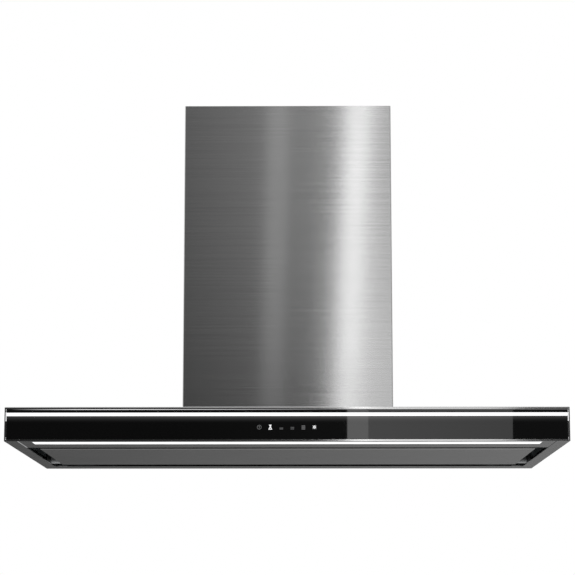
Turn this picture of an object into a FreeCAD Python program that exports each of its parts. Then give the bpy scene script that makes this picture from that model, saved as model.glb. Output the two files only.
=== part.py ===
import FreeCAD, Part
import math
import os

V = FreeCAD.Vector
ACROSS = V(1, 0, 0)
BACK = V(0, 1, 0)
UP = V(0, 0, 1)

# The wall is the plane Y = 0, the front is at negative Y, the canopy stands on Z = 0. All sizes in mm.
# Gaps: between seated pieces, in running fits, and how far a cut reaches past its sheet
SEAT = 0.3
RUNNING = 0.05
PAST = 1.0
# Sides of a round that no fit depends on
SIDES = 24
# Canopy box
CANOPY_WIDTH = 900.0
CANOPY_DEPTH = 500.0
CANOPY_HEIGHT = 55.0
CANOPY_SHEET = 1.2
CANOPY_EDGE = 1.5
SIDE_LIP = 21.0
REAR_LIP = 48.0
# Front glass with its steel border
BORDER_SIDE = 3.5
BORDER_TOP = 4.0
BORDER_BOTTOM = 3.0
GLASS_THICK = 4.0
GLASS_SUNK = 0.3
GLASS_EDGE = 0.4
CLIP_WIDTH = 24.0
CLIP_DEEP = 12.0
CLIP_SHEET = 0.8
CLIP_SHARES = (0.29, 0.59, 0.89)
# Upper light band behind the glass
BAND_DROP = 9.1
BAND_TALL = 5.5
GUIDE_DEEP = 9.5
GUIDE_ROUND = 1.0
HOLDER_SHEET = 1.2
HOLDER_END = 4.0
HOLDER_SLOPE = 6.0
HOLDER_FLANGE = 14.0
BOARD_THICK = 1.6
STRIP_END = 6.0
STRIP_WIDE = 14.0
LED_SIZE = 3.0
LED_TALL = 0.8
LED_PITCH = 60.0
# Touch field
KEY_PITCH = 17.55
KEY_COUNT = 6
KEY_SHARE = 0.4
KEY_CELL = 11.0
KEY_WALL = 2.0
KEY_GUIDE_DEEP = 2.4
TOUCH_END = 6.0
TOUCH_SOCKET = (14.0, 6.0, 8.0)
TOUCH_CHIP = (18.0, 1.8, 10.0)
# Front rail under the light compartment
RAIL_DEPTH = 105.0
RAIL_BEND = 1.25
RAIL_TOP_FLANGE = 14.0
RAIL_TAB_WIDTH = 30.0
RAIL_TAB_HIGH = 9.0
LENS_SIDE = 43.0
LENS_FRONT = 11.0
LENS_WIDE = 38.0
LENS_FLANGE = 3.2
LENS_THICK = 3.6
LENS_SUNK = 0.2
CHANNEL_HIGH = 13.0
CHANNEL_FOOT = 10.0
# Control box and light driver in the light compartment
CONTROL_SIZE = (120.0, 32.0, 40.0)
CONTROL_LEFT = 150.0
CONTROL_WALL = 2.0
LID_THICK = 2.5
LID_RIM = 4.0
BOARD_GAP = 1.5
BOARD_RISE = 6.0
RELAY_SIZE = (18.0, 12.0, 15.0)
RELAY_COUNT = 3
RELAY_PITCH = 24.0
RELAY_START = 14.0
POST_SIZE = 4.0
DRIVER_SIZE = (130.0, 28.0, 24.0)
DRIVER_LEFT = -280.0
EAR_SIZE = (12.0, 18.0, 2.5)
EAR_OVERLAP = 2.0
COMPARTMENT_GAP = 3.0
# Suction panel and its hinge
SIDE_SLOT = 18.0
FRONT_SLOT = 27.0
REAR_SLOT = 35.0
PANEL_SHARE = 0.218
PANEL_SHEET = 1.2
PANEL_BEND = 1.5
LINER_SHEET = 0.8
PIVOT_INSET = 13.0
PIVOT_HIGH = 6.5
PIN_RADIUS = 3.0
PIN_INSIDE = 6.0
PIN_END_GAP = 4.0
BUSH_RADIUS = 5.5
BRACKET_SHEET = 1.5
BRACKET_HIGH = 14.0
BRACKET_LONG = 70.0
BRACKET_BEHIND = 16.0
BRACKET_END_GAP = 2.0
MAGNET_SIZE = (30.0, 16.0, 9.0)
MAGNET_STEM = (14.0, 6.0)
MAGNET_FOOT = (26.0, 12.0, 2.0)
MAGNET_INSET = 31.0
STRIKE_THICK = 1.0
# Filter deck and grease filters
DECK_SHARE = 0.6455
DECK_TALL = 17.5
DECK_SHEET = 1.2
FILTER_SIDE = 71.0
FILTER_INNER = 10.0
FILTER_FRONT_GAP = 35.0
FILTER_REAR_GAP = 32.0
FILTER_SHARE = 0.182
FILTER_BORDER = 14.0
FILTER_GROOVE = 6.0
FILTER_SKIN = 1.5
FILTER_CORNER = 3.0
MESH_FOLD = 10.0
MESH_SHEET = 0.6
LEDGE_SHEET = 1.2
LEDGE_GRIP = 4.0
LEDGE_BACK = 18.0
LEDGE_FRONT = 12.0
LATCH_REACH = 19.0
LATCH_INSET = 8.0
LATCH_BLIND = 2.0
LATCH_STEM = 3.0
LATCH_KNOB = 8.5
LATCH_KNOB_THICK = 2.0
LATCH_TONGUE = (10.0, 1.3)
LATCH_GRIP_SHARE = 0.1
LATCH_GRIP_THICK = 3.0
LATCH_SOLID = 5.0
# Flue
FLUE_WIDTH = 360.0
FLUE_DEPTH = 290.0
FLUE_HEIGHT = 556.0
FLUE_SHEET = 1.0
FLUE_GAP = 1.5
FLUE_RETURN = 15.0
FLUE_FOOT = 12.0
FLUE_FOOT_END = 25.0
FLUE_CORNER = 1.5
UPPER_BELOW_TOP = 2.0
LOUVRE_COUNT = 6
LOUVRE_LONG = 90.0
LOUVRE_TALL = 6.0
LOUVRE_PITCH = 14.0
LOUVRE_DROP = 25.0
HOOK_GAP = 1.5
HOOK_EAR = 20.0
HOOK_REACH = 30.0
HOOK_TALL = 40.0
HOOK_DROP = 20.0
HOOK_SHEET = 1.5
# Blower box on the canopy top, inside the flue
FOOT_GAP_SIDE = 4.0
FOOT_GAP_FRONT = 2.0
BOX_BACK = 2.0
BOX_HIGH = 260.0
BOX_SHEET = 1.0
BOX_FLANGE = 13.0
BOX_MOUTH_INSET = 6.0
PLATE_RISE = 5.0
PLATE_DROP = 15.0
PLATE_FOLD = 10.0
WALL_HOLE_RADIUS = 4.5
WALL_HOLE_INSET = 30.0
WALL_HOLE_RISE = 35.0
WALL_HOLE_SPACING = 100.0
# Scroll housing and rotor, axis along X
AXIS_RISE = 125.0
SCROLL_HALF = 62.0
SCROLL_SHEET = 1.2
SCROLL_ROOM = 14.0
SCROLL_START_SHARE = 0.724
SCROLL_FLATS = 28
TONGUE_ANGLE = 65.0
TONGUE_WRAP = 1.7
OUTLET_LEAN = 12.0
OUTLET_FLANGE_FRONT = 14.0
OUTLET_FLANGE_REAR = 9.0
INLET_INSET = 3.0
MOUTH_DEEP = 6.0
MOUTH_WALL = 2.0
ROTOR_GAP = 6.0
ROTOR_INNER_SHARE = 0.82
ROTOR_HALF = 55.0
ROTOR_SIDES = 32
ROTOR_RIM = 3.0
BLADE_COUNT = 24
BLADE_SHEET = 0.8
BLADE_LEAN = 9.0
BLADE_FLATS = 2
BLADE_INSET = 0.8
HUB_RADIUS = 12.0
HUB_HALF = 7.0
DISC_HALF = 1.0
SHAFT_RADIUS = 4.0
SHAFT_OUT = 6.0
SHAFT_END = 4.0
MOTOR_SHARE = 0.625
MOTOR_START = 12.0
MOTOR_LONG = 68.0
MOTOR_STEP = 5.0
MOTOR_NECK = 15.0
MOTOR_NECK_LONG = 3.0
RING_WALL = 3.0
RING_START = 67.5
RING_LONG = 9.0
ARM_WIDTH = 14.0
ARM_THICK = 3.0
ARM_OUT = 15.0
ARM_COUNT = 3
GROMMET_RADIUS = 6.0
GUARD_INNER = (29.0, 32.0)
GUARD_RIM = (0.5, 5.0)
GUARD_SHEET = 1.2
GUARD_ARM = 3.0
# Small electrical pieces in the blower box
CAP_RADIUS = 17.0
CAP_LONG = 60.0
CAP_INSET = 28.0
CAP_RISE = 45.0
CAP_BEHIND_FRONT = 32.0
CAP_BLADE = (6.0, 9.0, 0.8)
CAP_BLADE_PITCH = 14.0
TERMINAL_SIZE = (20.0, 54.0, 22.0)
TERMINAL_BEHIND_FRONT = 72.0
TERMINAL_DROP = 63.0
TERMINAL_POLES = 4
TERMINAL_HOLE = 6.0
GLAND_INSET = 30.0
GLAND_BEHIND_FRONT = 37.0
GLAND_RADIUS = 8.0
GLAND_HEX = 12.0
GLAND_DOME = 10.0
GLAND_BORE = 4.5
GLAND_BODY = 14.0
GLAND_TAIL = 12.0
GLAND_NUT = 5.0
PAD_THICK = 12.0
PAD_SIDE = 20.0
PAD_LOW = 15.0
PAD_HIGH = 25.0
PAD_ENDS = (27.0, 30.0)
PAD_BELOW_TERMINAL = 17.0
# Duct collar and damper
COLLAR_RADIUS = 75.0
COLLAR_SHEET = 1.2
COLLAR_Y = -90.0
COLLAR_RISE = 47.0
COLLAR_LONG = 58.0
COLLAR_NECK = 7.0
CORNER_FLATS = 8
BORE_SIDES = 48
FLAP_RISE = 30.0
FLAP_OFFSET = 3.4
FLAP_SHEET = 1.0
FLAP_GAP = 0.9
FLAP_PIN = 1.5
FLAP_BARREL = 2.6
BARREL_END_GAP = 2.5
STOP_SIZE = (8.0, 5.2, 3.0)
STOP_REACH = 2.0
# Limits that follow from the sizes above
HALF = CANOPY_WIDTH / 2
FRONT = -CANOPY_DEPTH
TOP = CANOPY_HEIGHT
UNDER_TOP = TOP - CANOPY_SHEET
LIP_INNER = HALF - SIDE_LIP
CLIP_PLACES = [HALF * share for share in CLIP_SHARES]
GLASS_FRONT = FRONT + GLASS_SUNK
GLASS_BACK = GLASS_FRONT + GLASS_THICK
BAND_HIGH = TOP - BAND_DROP
BAND_LOW = BAND_HIGH - BAND_TALL
KEY_HEIGHT = TOP * KEY_SHARE
RAIL_REAR = FRONT + RAIL_DEPTH
LENS_HALF = HALF - LENS_SIDE
PANEL_HALF = LIP_INNER - SIDE_SLOT
PANEL_FRONT = RAIL_REAR + FRONT_SLOT
PANEL_REAR = -REAR_LIP - REAR_SLOT
PANEL_HIGH = TOP * PANEL_SHARE
DECK_HIGH = TOP * DECK_SHARE
DECK_UNDER = DECK_HIGH - DECK_SHEET - SEAT
FILTER_THICK = TOP * FILTER_SHARE
LATCH_GRIP = TOP * LATCH_GRIP_SHARE
FLUE_TOP = TOP + FLUE_HEIGHT
BOX_HALF = FLUE_WIDTH / 2 - FLUE_SHEET - FLUE_FOOT - FOOT_GAP_SIDE - BOX_FLANGE
BOX_FRONT = FLUE_DEPTH - FLUE_SHEET - FLUE_FOOT - FOOT_GAP_FRONT - BOX_FLANGE
BOX_TOP = TOP + BOX_HIGH
BOX_WALL = BOX_HALF - BOX_SHEET - SEAT
PLATE_HIGH = FLUE_TOP - PLATE_DROP
AXIS_Y = -(BOX_FRONT + BOX_BACK) / 2
AXIS_Z = TOP + AXIS_RISE
AXIS = V(0, AXIS_Y, AXIS_Z)
SCROLL_END = (BOX_FRONT - BOX_BACK) / 2 - SCROLL_ROOM
SCROLL_START = SCROLL_END * SCROLL_START_SHARE
OUTLET_TOP = BOX_TOP - BOX_SHEET - SEAT
OUTLET_FRONT = AXIS_Y + OUTLET_LEAN
OUTLET_REAR = AXIS_Y + SCROLL_END
ROTOR_RADIUS = SCROLL_START - ROTOR_GAP
ROTOR_INNER = ROTOR_RADIUS * ROTOR_INNER_SHARE
INLET_RADIUS = ROTOR_INNER - INLET_INSET
MOTOR_RADIUS = ROTOR_INNER * MOTOR_SHARE
ARM_REACH = INLET_RADIUS + ARM_OUT
TERMINAL_LOW = BOX_TOP - TERMINAL_DROP
COLLAR_BORE = COLLAR_RADIUS - COLLAR_SHEET
FLAP_Z = BOX_TOP + COLLAR_RISE + FLAP_RISE


def block(x, y, z):
    """Box between three pairs of limits."""
    return Part.makeBox(x[1] - x[0], y[1] - y[0], z[1] - z[0], V(x[0], y[0], z[0]))


def around(middle, size):
    """Limits of a length about its middle."""
    return middle - size / 2, middle + size / 2


def shrunk(limits, inset):
    return limits[0] + inset, limits[1] - inset


def rod(centre, axis, radius, length):
    return Part.makeCylinder(radius, length, centre, axis)


def prism(points, along):
    return Part.Face(Part.makePolygon(points + points[:1])).extrude(along)


def circle_points(centre, axis, radius, sides):
    first = ACROSS if abs(axis.z) > 0.5 else UP
    second = axis.cross(first)
    turns = [2 * math.pi * index / sides for index in range(sides)]
    return [centre + first * (radius * math.cos(turn)) + second * (radius * math.sin(turn)) for turn in turns]


def bar(centre, axis, radius, length, sides=SIDES):
    """Round bar drawn with narrow flats."""
    return prism(circle_points(centre, axis, radius, sides), axis * length)


def hoop(centre, axis, outer, inner, length, sides=SIDES):
    """Flat ring drawn with narrow flats."""
    return bar(centre, axis, outer, length, sides).cut(bar(centre, axis, inner, length, sides))


def mirrored(shape):
    return shape.mirror(V(0, 0, 0), ACROSS)


def pair(shape):
    """The shape and its mirror image as two separate solids."""
    return Part.makeCompound([shape, mirrored(shape)])


def folded(points, thickness, along):
    """Sheet bent along an open line; seen from +X or +Z, a positive thickness lies to its right."""
    face = Part.makePolygon(points).makeOffset2D(thickness, 2, True, True)
    return face.extrude(along)


def filleted(shape, radius, wanted):
    return shape.makeFillet(radius, [edge for edge in shape.Edges if wanted(edge.CenterOfMass)])


def near(value, target):
    return abs(value - target) < RUNNING


def pan(x, y, z, sheet):
    """Folded tray, open at the top."""
    inside = block(shrunk(x, sheet), shrunk(y, sheet), (z[0] + sheet, z[1]))
    return block(x, y, z).cut(inside)


# Canopy


def canopy_shell():
    shell = block((-HALF, HALF), (FRONT, 0), (0, TOP))
    shell = filleted(shell, CANOPY_EDGE, lambda point: near(point.z, TOP) and point.y < -SEAT)
    shell = shell.cut(block((-HALF + CANOPY_SHEET, HALF - CANOPY_SHEET),
                            (FRONT + CANOPY_SHEET, -CANOPY_SHEET), (CANOPY_SHEET, UNDER_TOP)))
    bottom = block((-LIP_INNER, LIP_INNER), (FRONT + CANOPY_SHEET, -REAR_LIP), (-PAST, CANOPY_SHEET))
    side = HALF - BORDER_SIDE + SEAT
    window = block((-side, side), (FRONT - PAST, FRONT + CANOPY_SHEET),
                   (BORDER_BOTTOM - SEAT, TOP - BORDER_TOP + SEAT))
    mouth = block(shrunk((-BOX_HALF, BOX_HALF), BOX_MOUTH_INSET),
                  (-BOX_FRONT + BOX_MOUTH_INSET, -BOX_BACK - 2 * BOX_MOUTH_INSET),
                  (UNDER_TOP - PAST, TOP + PAST))
    return shell.cut(bottom).cut(window).cut(mouth)


def front_glass():
    side = HALF - BORDER_SIDE
    glass = block((-side, side), (GLASS_FRONT, GLASS_BACK), (BORDER_BOTTOM, TOP - BORDER_TOP))
    return filleted(glass, GLASS_EDGE, lambda point: near(point.y, GLASS_FRONT))


def glass_clips():
    """Spring clips under the canopy top that press on the upper edge of the glass."""
    clips = []
    y = GLASS_BACK + SEAT
    high = UNDER_TOP - SEAT
    for x in CLIP_PLACES:
        line = [V(x, y, BAND_HIGH + CLIP_SHEET), V(x, y, high), V(x, y + CLIP_DEEP, high)]
        clips.append(folded(line, CLIP_SHEET, ACROSS * CLIP_WIDTH))
    clips += [mirrored(clip) for clip in clips]
    return Part.makeCompound(clips)


def front_light_guide():
    half = HALF - BORDER_SIDE
    y = GLASS_BACK + SEAT
    rear = y + GUIDE_DEEP
    guide = block((-half, half), (y, rear), (BAND_LOW, BAND_HIGH))
    return filleted(guide, GUIDE_ROUND, lambda point: near(point.y, rear) and near(point.x, 0))


def led_places(half):
    count = int(half / LED_PITCH)
    return [index * LED_PITCH for index in range(-count, count + 1)]


def band_strip_front():
    """Y of the front face of the upper LED strip's board."""
    return GLASS_BACK + 2 * SEAT + GUIDE_DEEP + LED_TALL


def front_led_strip():
    half = HALF - BORDER_SIDE - STRIP_END
    y = band_strip_front()
    middle = (BAND_LOW + BAND_HIGH) / 2
    strip = block((-half, half), (y, y + BOARD_THICK), (BAND_LOW, BAND_HIGH))
    chips = [block(around(x, LED_SIZE), (y - LED_TALL, y), around(middle, LED_SIZE)) for x in led_places(half)]
    return strip.multiFuse(chips)


def front_light_holder():
    """Long angle under the canopy top: its lip carries the light guide, its back the LED strip."""
    half = HALF - BORDER_SIDE - HOLDER_END
    low = BAND_LOW - SEAT
    rear = band_strip_front() + BOARD_THICK + SEAT
    high = UNDER_TOP - SEAT
    line = [V(-half, GLASS_BACK + SEAT, low), V(-half, rear, low), V(-half, rear, high - HOLDER_SLOPE),
            V(-half, rear + HOLDER_SLOPE, high), V(-half, rear + HOLDER_SLOPE + HOLDER_FLANGE, high)]
    return folded(line, HOLDER_SHEET, ACROSS * 2 * half)


def key_centres():
    return [KEY_PITCH * (index - (KEY_COUNT - 1) / 2) for index in range(KEY_COUNT)]


def touch_light_guide():
    """Plastic grid of six cells that keeps the light of one sign from its neighbour."""
    half = KEY_PITCH * KEY_COUNT / 2 + KEY_WALL
    y = GLASS_BACK + SEAT
    grid = block((-half, half), (y, y + KEY_GUIDE_DEEP), around(KEY_HEIGHT, KEY_CELL + 2 * KEY_WALL))
    for x in key_centres():
        grid = grid.cut(block(around(x, KEY_CELL), (y - PAST, y + KEY_GUIDE_DEEP + PAST),
                              around(KEY_HEIGHT, KEY_CELL)))
    return grid


def touch_board():
    half = KEY_PITCH * KEY_COUNT / 2 + KEY_WALL + TOUCH_END
    y = GLASS_BACK + 2 * SEAT + KEY_GUIDE_DEEP
    rear = y + BOARD_THICK
    board = block((-half, half), (y, rear), around(KEY_HEIGHT, KEY_CELL + 2 * KEY_WALL))
    socket_left = half - TOUCH_END - TOUCH_SOCKET[0]
    socket = block((socket_left, socket_left + TOUCH_SOCKET[0]), (rear, rear + TOUCH_SOCKET[1]),
                   around(KEY_HEIGHT, TOUCH_SOCKET[2]))
    chip = block(around(0, TOUCH_CHIP[0]), (rear, rear + TOUCH_CHIP[1]), around(KEY_HEIGHT, TOUCH_CHIP[2]))
    return board.multiFuse([socket, chip])


# Front rail with the lower light


def lens_limits():
    return (-LENS_HALF, LENS_HALF), (FRONT + LENS_FRONT, FRONT + LENS_FRONT + LENS_WIDE)


def light_rail():
    half = LIP_INNER - SEAT
    front = FRONT + CANOPY_SHEET + SEAT
    high = UNDER_TOP - SEAT
    line = [V(-half, front, 0), V(-half, RAIL_REAR, 0), V(-half, RAIL_REAR, high),
            V(-half, RAIL_REAR - RAIL_TOP_FLANGE, high)]
    rail = folded(line, -CANOPY_SHEET, ACROSS * 2 * half)
    rail = filleted(rail, RAIL_BEND,
                    lambda point: near(point.x, 0) and near(point.y, RAIL_REAR) and near(point.z, 0))
    x, y = lens_limits()
    rail = rail.cut(block(shrunk(x, -SEAT), shrunk(y, -SEAT), (-PAST, CANOPY_SHEET + PAST)))
    tab_y = GLASS_BACK + SEAT
    tabs = [block(around(side * place, RAIL_TAB_WIDTH), (tab_y, tab_y + CANOPY_SHEET),
                  (CANOPY_SHEET / 2, RAIL_TAB_HIGH)) for place in CLIP_PLACES for side in (-1, 1)]
    return rail.multiFuse(tabs).removeSplitter()


def lower_light_lens():
    """Frosted lens: its face fills the window in the rail, its flange lies on the rail."""
    x, y = lens_limits()
    seat = CANOPY_SHEET + SEAT
    face = block(x, y, (LENS_SUNK, seat + SEAT))
    flange = block(shrunk(x, -LENS_FLANGE), shrunk(y, -LENS_FLANGE), (seat, LENS_THICK))
    return face.fuse(flange).removeSplitter()


def lower_led_channel():
    """Folded aluminium channel over the lens, with a foot along its rear side."""
    x, y = lens_limits()
    half = x[1] + LENS_FLANGE
    front, rear = shrunk(y, -LENS_FLANGE - SEAT - HOLDER_SHEET)
    low = CANOPY_SHEET + SEAT
    foot = low + HOLDER_SHEET
    line = [V(-half, front, low), V(-half, front, CHANNEL_HIGH), V(-half, rear, CHANNEL_HIGH),
            V(-half, rear, foot), V(-half, rear + CHANNEL_FOOT, foot)]
    return folded(line, HOLDER_SHEET, ACROSS * 2 * half)


def lower_led_strip():
    x, y = lens_limits()
    half = x[1] - STRIP_END
    middle = (y[0] + y[1]) / 2
    high = CHANNEL_HIGH - HOLDER_SHEET - SEAT
    low = high - BOARD_THICK
    strip = block((-half, half), around(middle, STRIP_WIDE), (low, high))
    chips = [block(around(place, LED_SIZE), around(middle, LED_SIZE), (low - LED_TALL, low))
             for place in led_places(half)]
    return strip.multiFuse(chips)


def compartment_limits(left, size):
    """Limits of a box that stands on the rail, close to its rear wall."""
    rear = RAIL_REAR - CANOPY_SHEET - COMPARTMENT_GAP
    low = CANOPY_SHEET + SEAT
    return (left, left + size[0]), (rear - size[1], rear), (low, low + size[2])


def control_box_base():
    x, y, z = compartment_limits(CONTROL_LEFT, CONTROL_SIZE)
    return pan(x, y, (z[0], z[1] - LID_THICK - SEAT), CONTROL_WALL)


def control_box_lid():
    x, y, z = compartment_limits(CONTROL_LEFT, CONTROL_SIZE)
    under = z[1] - LID_THICK
    inset = CONTROL_WALL + SEAT
    rim = block(shrunk(x, inset), shrunk(y, inset), (under - LID_RIM, under))
    rim = rim.cut(block(shrunk(x, 2 * inset), shrunk(y, 2 * inset), (under - LID_RIM - PAST, under)))
    return block(x, y, (under, z[1])).fuse(rim).removeSplitter()


def control_board():
    """Board on two posts with a row of relays."""
    x, y, z = compartment_limits(CONTROL_LEFT, CONTROL_SIZE)
    middle = (y[0] + y[1]) / 2
    floor = z[0] + CONTROL_WALL + SEAT
    low = floor + BOARD_RISE
    high = low + BOARD_THICK
    start = x[0] + RELAY_START
    board = block(shrunk(x, CONTROL_WALL + BOARD_GAP), shrunk(y, CONTROL_WALL + BOARD_GAP), (low, high))
    lefts = [start + RELAY_PITCH * index for index in range(RELAY_COUNT)]
    relays = [block((left, left + RELAY_SIZE[0]), around(middle, RELAY_SIZE[1]), (high, high + RELAY_SIZE[2]))
              for left in lefts]
    posts = [block(around(place, POST_SIZE), around(middle, POST_SIZE), (floor, low))
             for place in (start, x[1] - RELAY_START)]
    return board.multiFuse(relays + posts)


def led_driver():
    x, y, z = compartment_limits(DRIVER_LEFT, DRIVER_SIZE)
    body = block(shrunk(x, EAR_SIZE[0] - EAR_OVERLAP), y, z)
    middle = (y[0] + y[1]) / 2
    ears = [block((left, left + EAR_SIZE[0]), around(middle, EAR_SIZE[1]), (z[0], z[0] + EAR_SIZE[2]))
            for left in (x[0], x[1] - EAR_SIZE[0])]
    return body.multiFuse(ears).removeSplitter()


# Suction panel


def pivot(x):
    return V(x, PANEL_REAR - PIVOT_INSET, PIVOT_HIGH)


def hinge_bore():
    return rod(pivot(-HALF), ACROSS, PIN_RADIUS + RUNNING, CANOPY_WIDTH)


def suction_panel():
    """Folded tray with a rounded bend along each side of its floor."""
    x = (-PANEL_HALF, PANEL_HALF)
    y = (PANEL_FRONT, PANEL_REAR)
    outer = filleted(block(x, y, (0, PANEL_HIGH)), PANEL_BEND, lambda point: near(point.z, 0))
    inner = block(shrunk(x, PANEL_SHEET), shrunk(y, PANEL_SHEET), (PANEL_SHEET, PANEL_HIGH))
    inner = filleted(inner, PANEL_BEND - PANEL_SHEET, lambda point: near(point.z, PANEL_SHEET))
    return outer.cut(inner).cut(hinge_bore())


def liner_high():
    return PANEL_HIGH - SEAT


def panel_liner():
    """Cover sheet that closes the tray from above and stiffens it."""
    inset = PANEL_SHEET + SEAT
    x = shrunk((-PANEL_HALF, PANEL_HALF), inset)
    y = shrunk((PANEL_FRONT, PANEL_REAR), inset)
    cover = pan(x, y, (-liner_high(), -PANEL_BEND), LINER_SHEET)
    return cover.mirror(V(0, 0, 0), UP).cut(hinge_bore())


def magnet_middle():
    return PANEL_HALF - MAGNET_INSET, PANEL_FRONT + 2 * PANEL_BEND + MAGNET_SIZE[1] / 2


def panel_strikes():
    x, y = magnet_middle()
    low = liner_high()
    return pair(block(around(x, MAGNET_SIZE[0]), around(y, MAGNET_SIZE[1]), (low, low + STRIKE_THICK)))


def panel_magnets():
    """Magnet blocks on stems under the filter deck, just above the strike plates."""
    x, y = magnet_middle()
    low = liner_high() + STRIKE_THICK + SEAT
    high = low + MAGNET_SIZE[2]
    body = block(around(x, MAGNET_SIZE[0]), around(y, MAGNET_SIZE[1]), (low, high))
    stem = block(around(x, MAGNET_STEM[0]), around(y, MAGNET_STEM[1]), (high - PAST, DECK_UNDER))
    foot = block(around(x, MAGNET_FOOT[0]), around(y, MAGNET_FOOT[1]),
                 (DECK_UNDER - MAGNET_FOOT[2], DECK_UNDER))
    return pair(body.multiFuse([stem, foot]))


def hinge_brackets():
    """Angles on the side lips that hold the hinge pins."""
    wall = LIP_INNER + SEAT
    start = pivot(0).y - BRACKET_LONG + BRACKET_BEHIND
    low = CANOPY_SHEET + SEAT
    line = [V(HALF - CANOPY_SHEET - BRACKET_END_GAP, start, low), V(wall, start, low),
            V(wall, start, BRACKET_HIGH)]
    plate = folded(line, -BRACKET_SHEET, BACK * BRACKET_LONG)
    return pair(plate.cut(rod(pivot(0), ACROSS, PIN_RADIUS + SEAT, HALF)))


def hinge_pins():
    start = PANEL_HALF - PIN_INSIDE
    return pair(rod(pivot(start), ACROSS, PIN_RADIUS, HALF - CANOPY_SHEET - PIN_END_GAP - start))


def hinge_bushes():
    start = PANEL_HALF + SEAT
    return pair(hoop(pivot(start), ACROSS, BUSH_RADIUS, PIN_RADIUS + SEAT, LIP_INNER - start))


# Filter deck and filters


def filter_limits():
    return ((FILTER_INNER, PANEL_HALF - FILTER_SIDE),
            (RAIL_REAR + FILTER_FRONT_GAP, -REAR_LIP - FILTER_REAR_GAP),
            (DECK_UNDER - FILTER_THICK, DECK_UNDER))


def filter_deck():
    """Inverted tray under the canopy top with one opening over each filter."""
    side = HALF - CANOPY_SHEET - SEAT
    y = (RAIL_REAR + SEAT, -REAR_LIP)
    low = DECK_HIGH - DECK_TALL
    deck = block((-side, side), y, (low, DECK_HIGH))
    deck = deck.cut(block(shrunk((-side, side), DECK_SHEET), shrunk(y, DECK_SHEET),
                          (low - PAST, DECK_HIGH - DECK_SHEET)))
    fx, fy, fz = filter_limits()
    hole = block(shrunk(fx, FILTER_BORDER), shrunk(fy, FILTER_BORDER), (fz[1], DECK_HIGH + PAST))
    return deck.cut(hole).cut(mirrored(hole))


def filter_ledges():
    """Folded strips under the deck: the rear one carries the filters, the latches grip the front one."""
    x, y, z = filter_limits()
    left = -x[1]
    rear = [V(left, y[1] + LEDGE_BACK, DECK_UNDER), V(left, y[1] + SEAT, DECK_UNDER),
            V(left, y[1] + SEAT, z[0] - SEAT), V(left, y[1] - LEDGE_GRIP, z[0] - SEAT)]
    grip = z[0] - 2 * SEAT - LATCH_TONGUE[1]
    start = y[0] - LEDGE_BACK
    front = [V(left, start, DECK_UNDER), V(left, start, grip), V(left, start + LEDGE_FRONT, grip)]
    span = ACROSS * 2 * x[1]
    return Part.makeCompound([folded(rear, -LEDGE_SHEET, span), folded(front, LEDGE_SHEET, span)])


def latch_point():
    x, y, z = filter_limits()
    return V((x[0] + x[1]) / 2, y[0] + LATCH_INSET, z[0])


def groove_limits(gap):
    """Limits of the groove that holds the mesh, drawn in by a gap; it stops short of the latch."""
    x, y, z = filter_limits()
    inset = FILTER_BORDER - FILTER_GROOVE + gap
    return (shrunk(x, inset), (y[0] + inset + LATCH_SOLID, y[1] - inset),
            shrunk(z, FILTER_SKIN + gap))


def filter_frame():
    x, y, z = filter_limits()
    frame = filleted(block(x, y, z), FILTER_CORNER, lambda point: near(point.z, (z[0] + z[1]) / 2))
    frame = frame.cut(block(shrunk(x, FILTER_BORDER), shrunk(y, FILTER_BORDER), shrunk(z, -PAST)))
    frame = frame.cut(block(*groove_limits(0)))
    deep = FILTER_THICK - LATCH_BLIND + PAST
    return frame.cut(rod(latch_point() - UP * PAST, UP, LATCH_STEM + RUNNING, deep))


def filter_mesh():
    """Pleated expanded-metal core whose edges sit in the groove of the frame."""
    x, y, z = groove_limits(SEAT)
    count = int((x[1] - x[0]) / MESH_FOLD)
    start = (x[0] + x[1] - count * MESH_FOLD) / 2
    line = [V(start + index * MESH_FOLD, y[0], z[1] - MESH_SHEET if index % 2 else z[0])
            for index in range(count + 1)]
    raised = [point + UP * MESH_SHEET for point in reversed(line)]
    return prism(line + raised, BACK * (y[1] - y[0]))


def filter_latch():
    """Turn latch: a stem in the frame, a tongue over the front ledge and a finger grip below."""
    point = latch_point()
    top = point.z - SEAT
    low = top - LATCH_TONGUE[1]
    stem = rod(V(point.x, point.y, low), UP, LATCH_STEM, point.z + FILTER_THICK - 2 * LATCH_BLIND - low)
    tongue = block(around(point.x, LATCH_TONGUE[0]), (point.y - LATCH_REACH, point.y), (low, top))
    knob = bar(V(point.x, point.y, low - LATCH_KNOB_THICK), UP, LATCH_KNOB, LATCH_KNOB_THICK)
    grip_high = low - LATCH_KNOB_THICK
    grip = block(around(point.x, LATCH_GRIP_THICK), around(point.y, 2 * LATCH_KNOB - LATCH_GRIP_THICK),
                 (grip_high - LATCH_GRIP, grip_high))
    return stem.multiFuse([tongue, knob, grip])


# Blower


def scroll_point(angle, radius):
    turn = math.radians(angle)
    return V(0, AXIS_Y + radius * math.cos(turn), AXIS_Z + radius * math.sin(turn))


def scroll_face(grow):
    """Outline of the scroll with its outlet, grown outwards by the given amount."""
    first = TONGUE_ANGLE + TONGUE_WRAP * grow
    points = []
    for step in range(SCROLL_FLATS + 1):
        share = step / SCROLL_FLATS
        radius = SCROLL_START + (SCROLL_END - SCROLL_START) * share + grow
        points.append(scroll_point(first + (360.0 - first) * share, radius))
    points += [V(0, OUTLET_REAR + grow, OUTLET_TOP), V(0, OUTLET_FRONT - grow, OUTLET_TOP)]
    return facet(*points)


def facet(*points):
    return Part.Face(Part.makePolygon(list(points) + [points[0]]))


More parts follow.
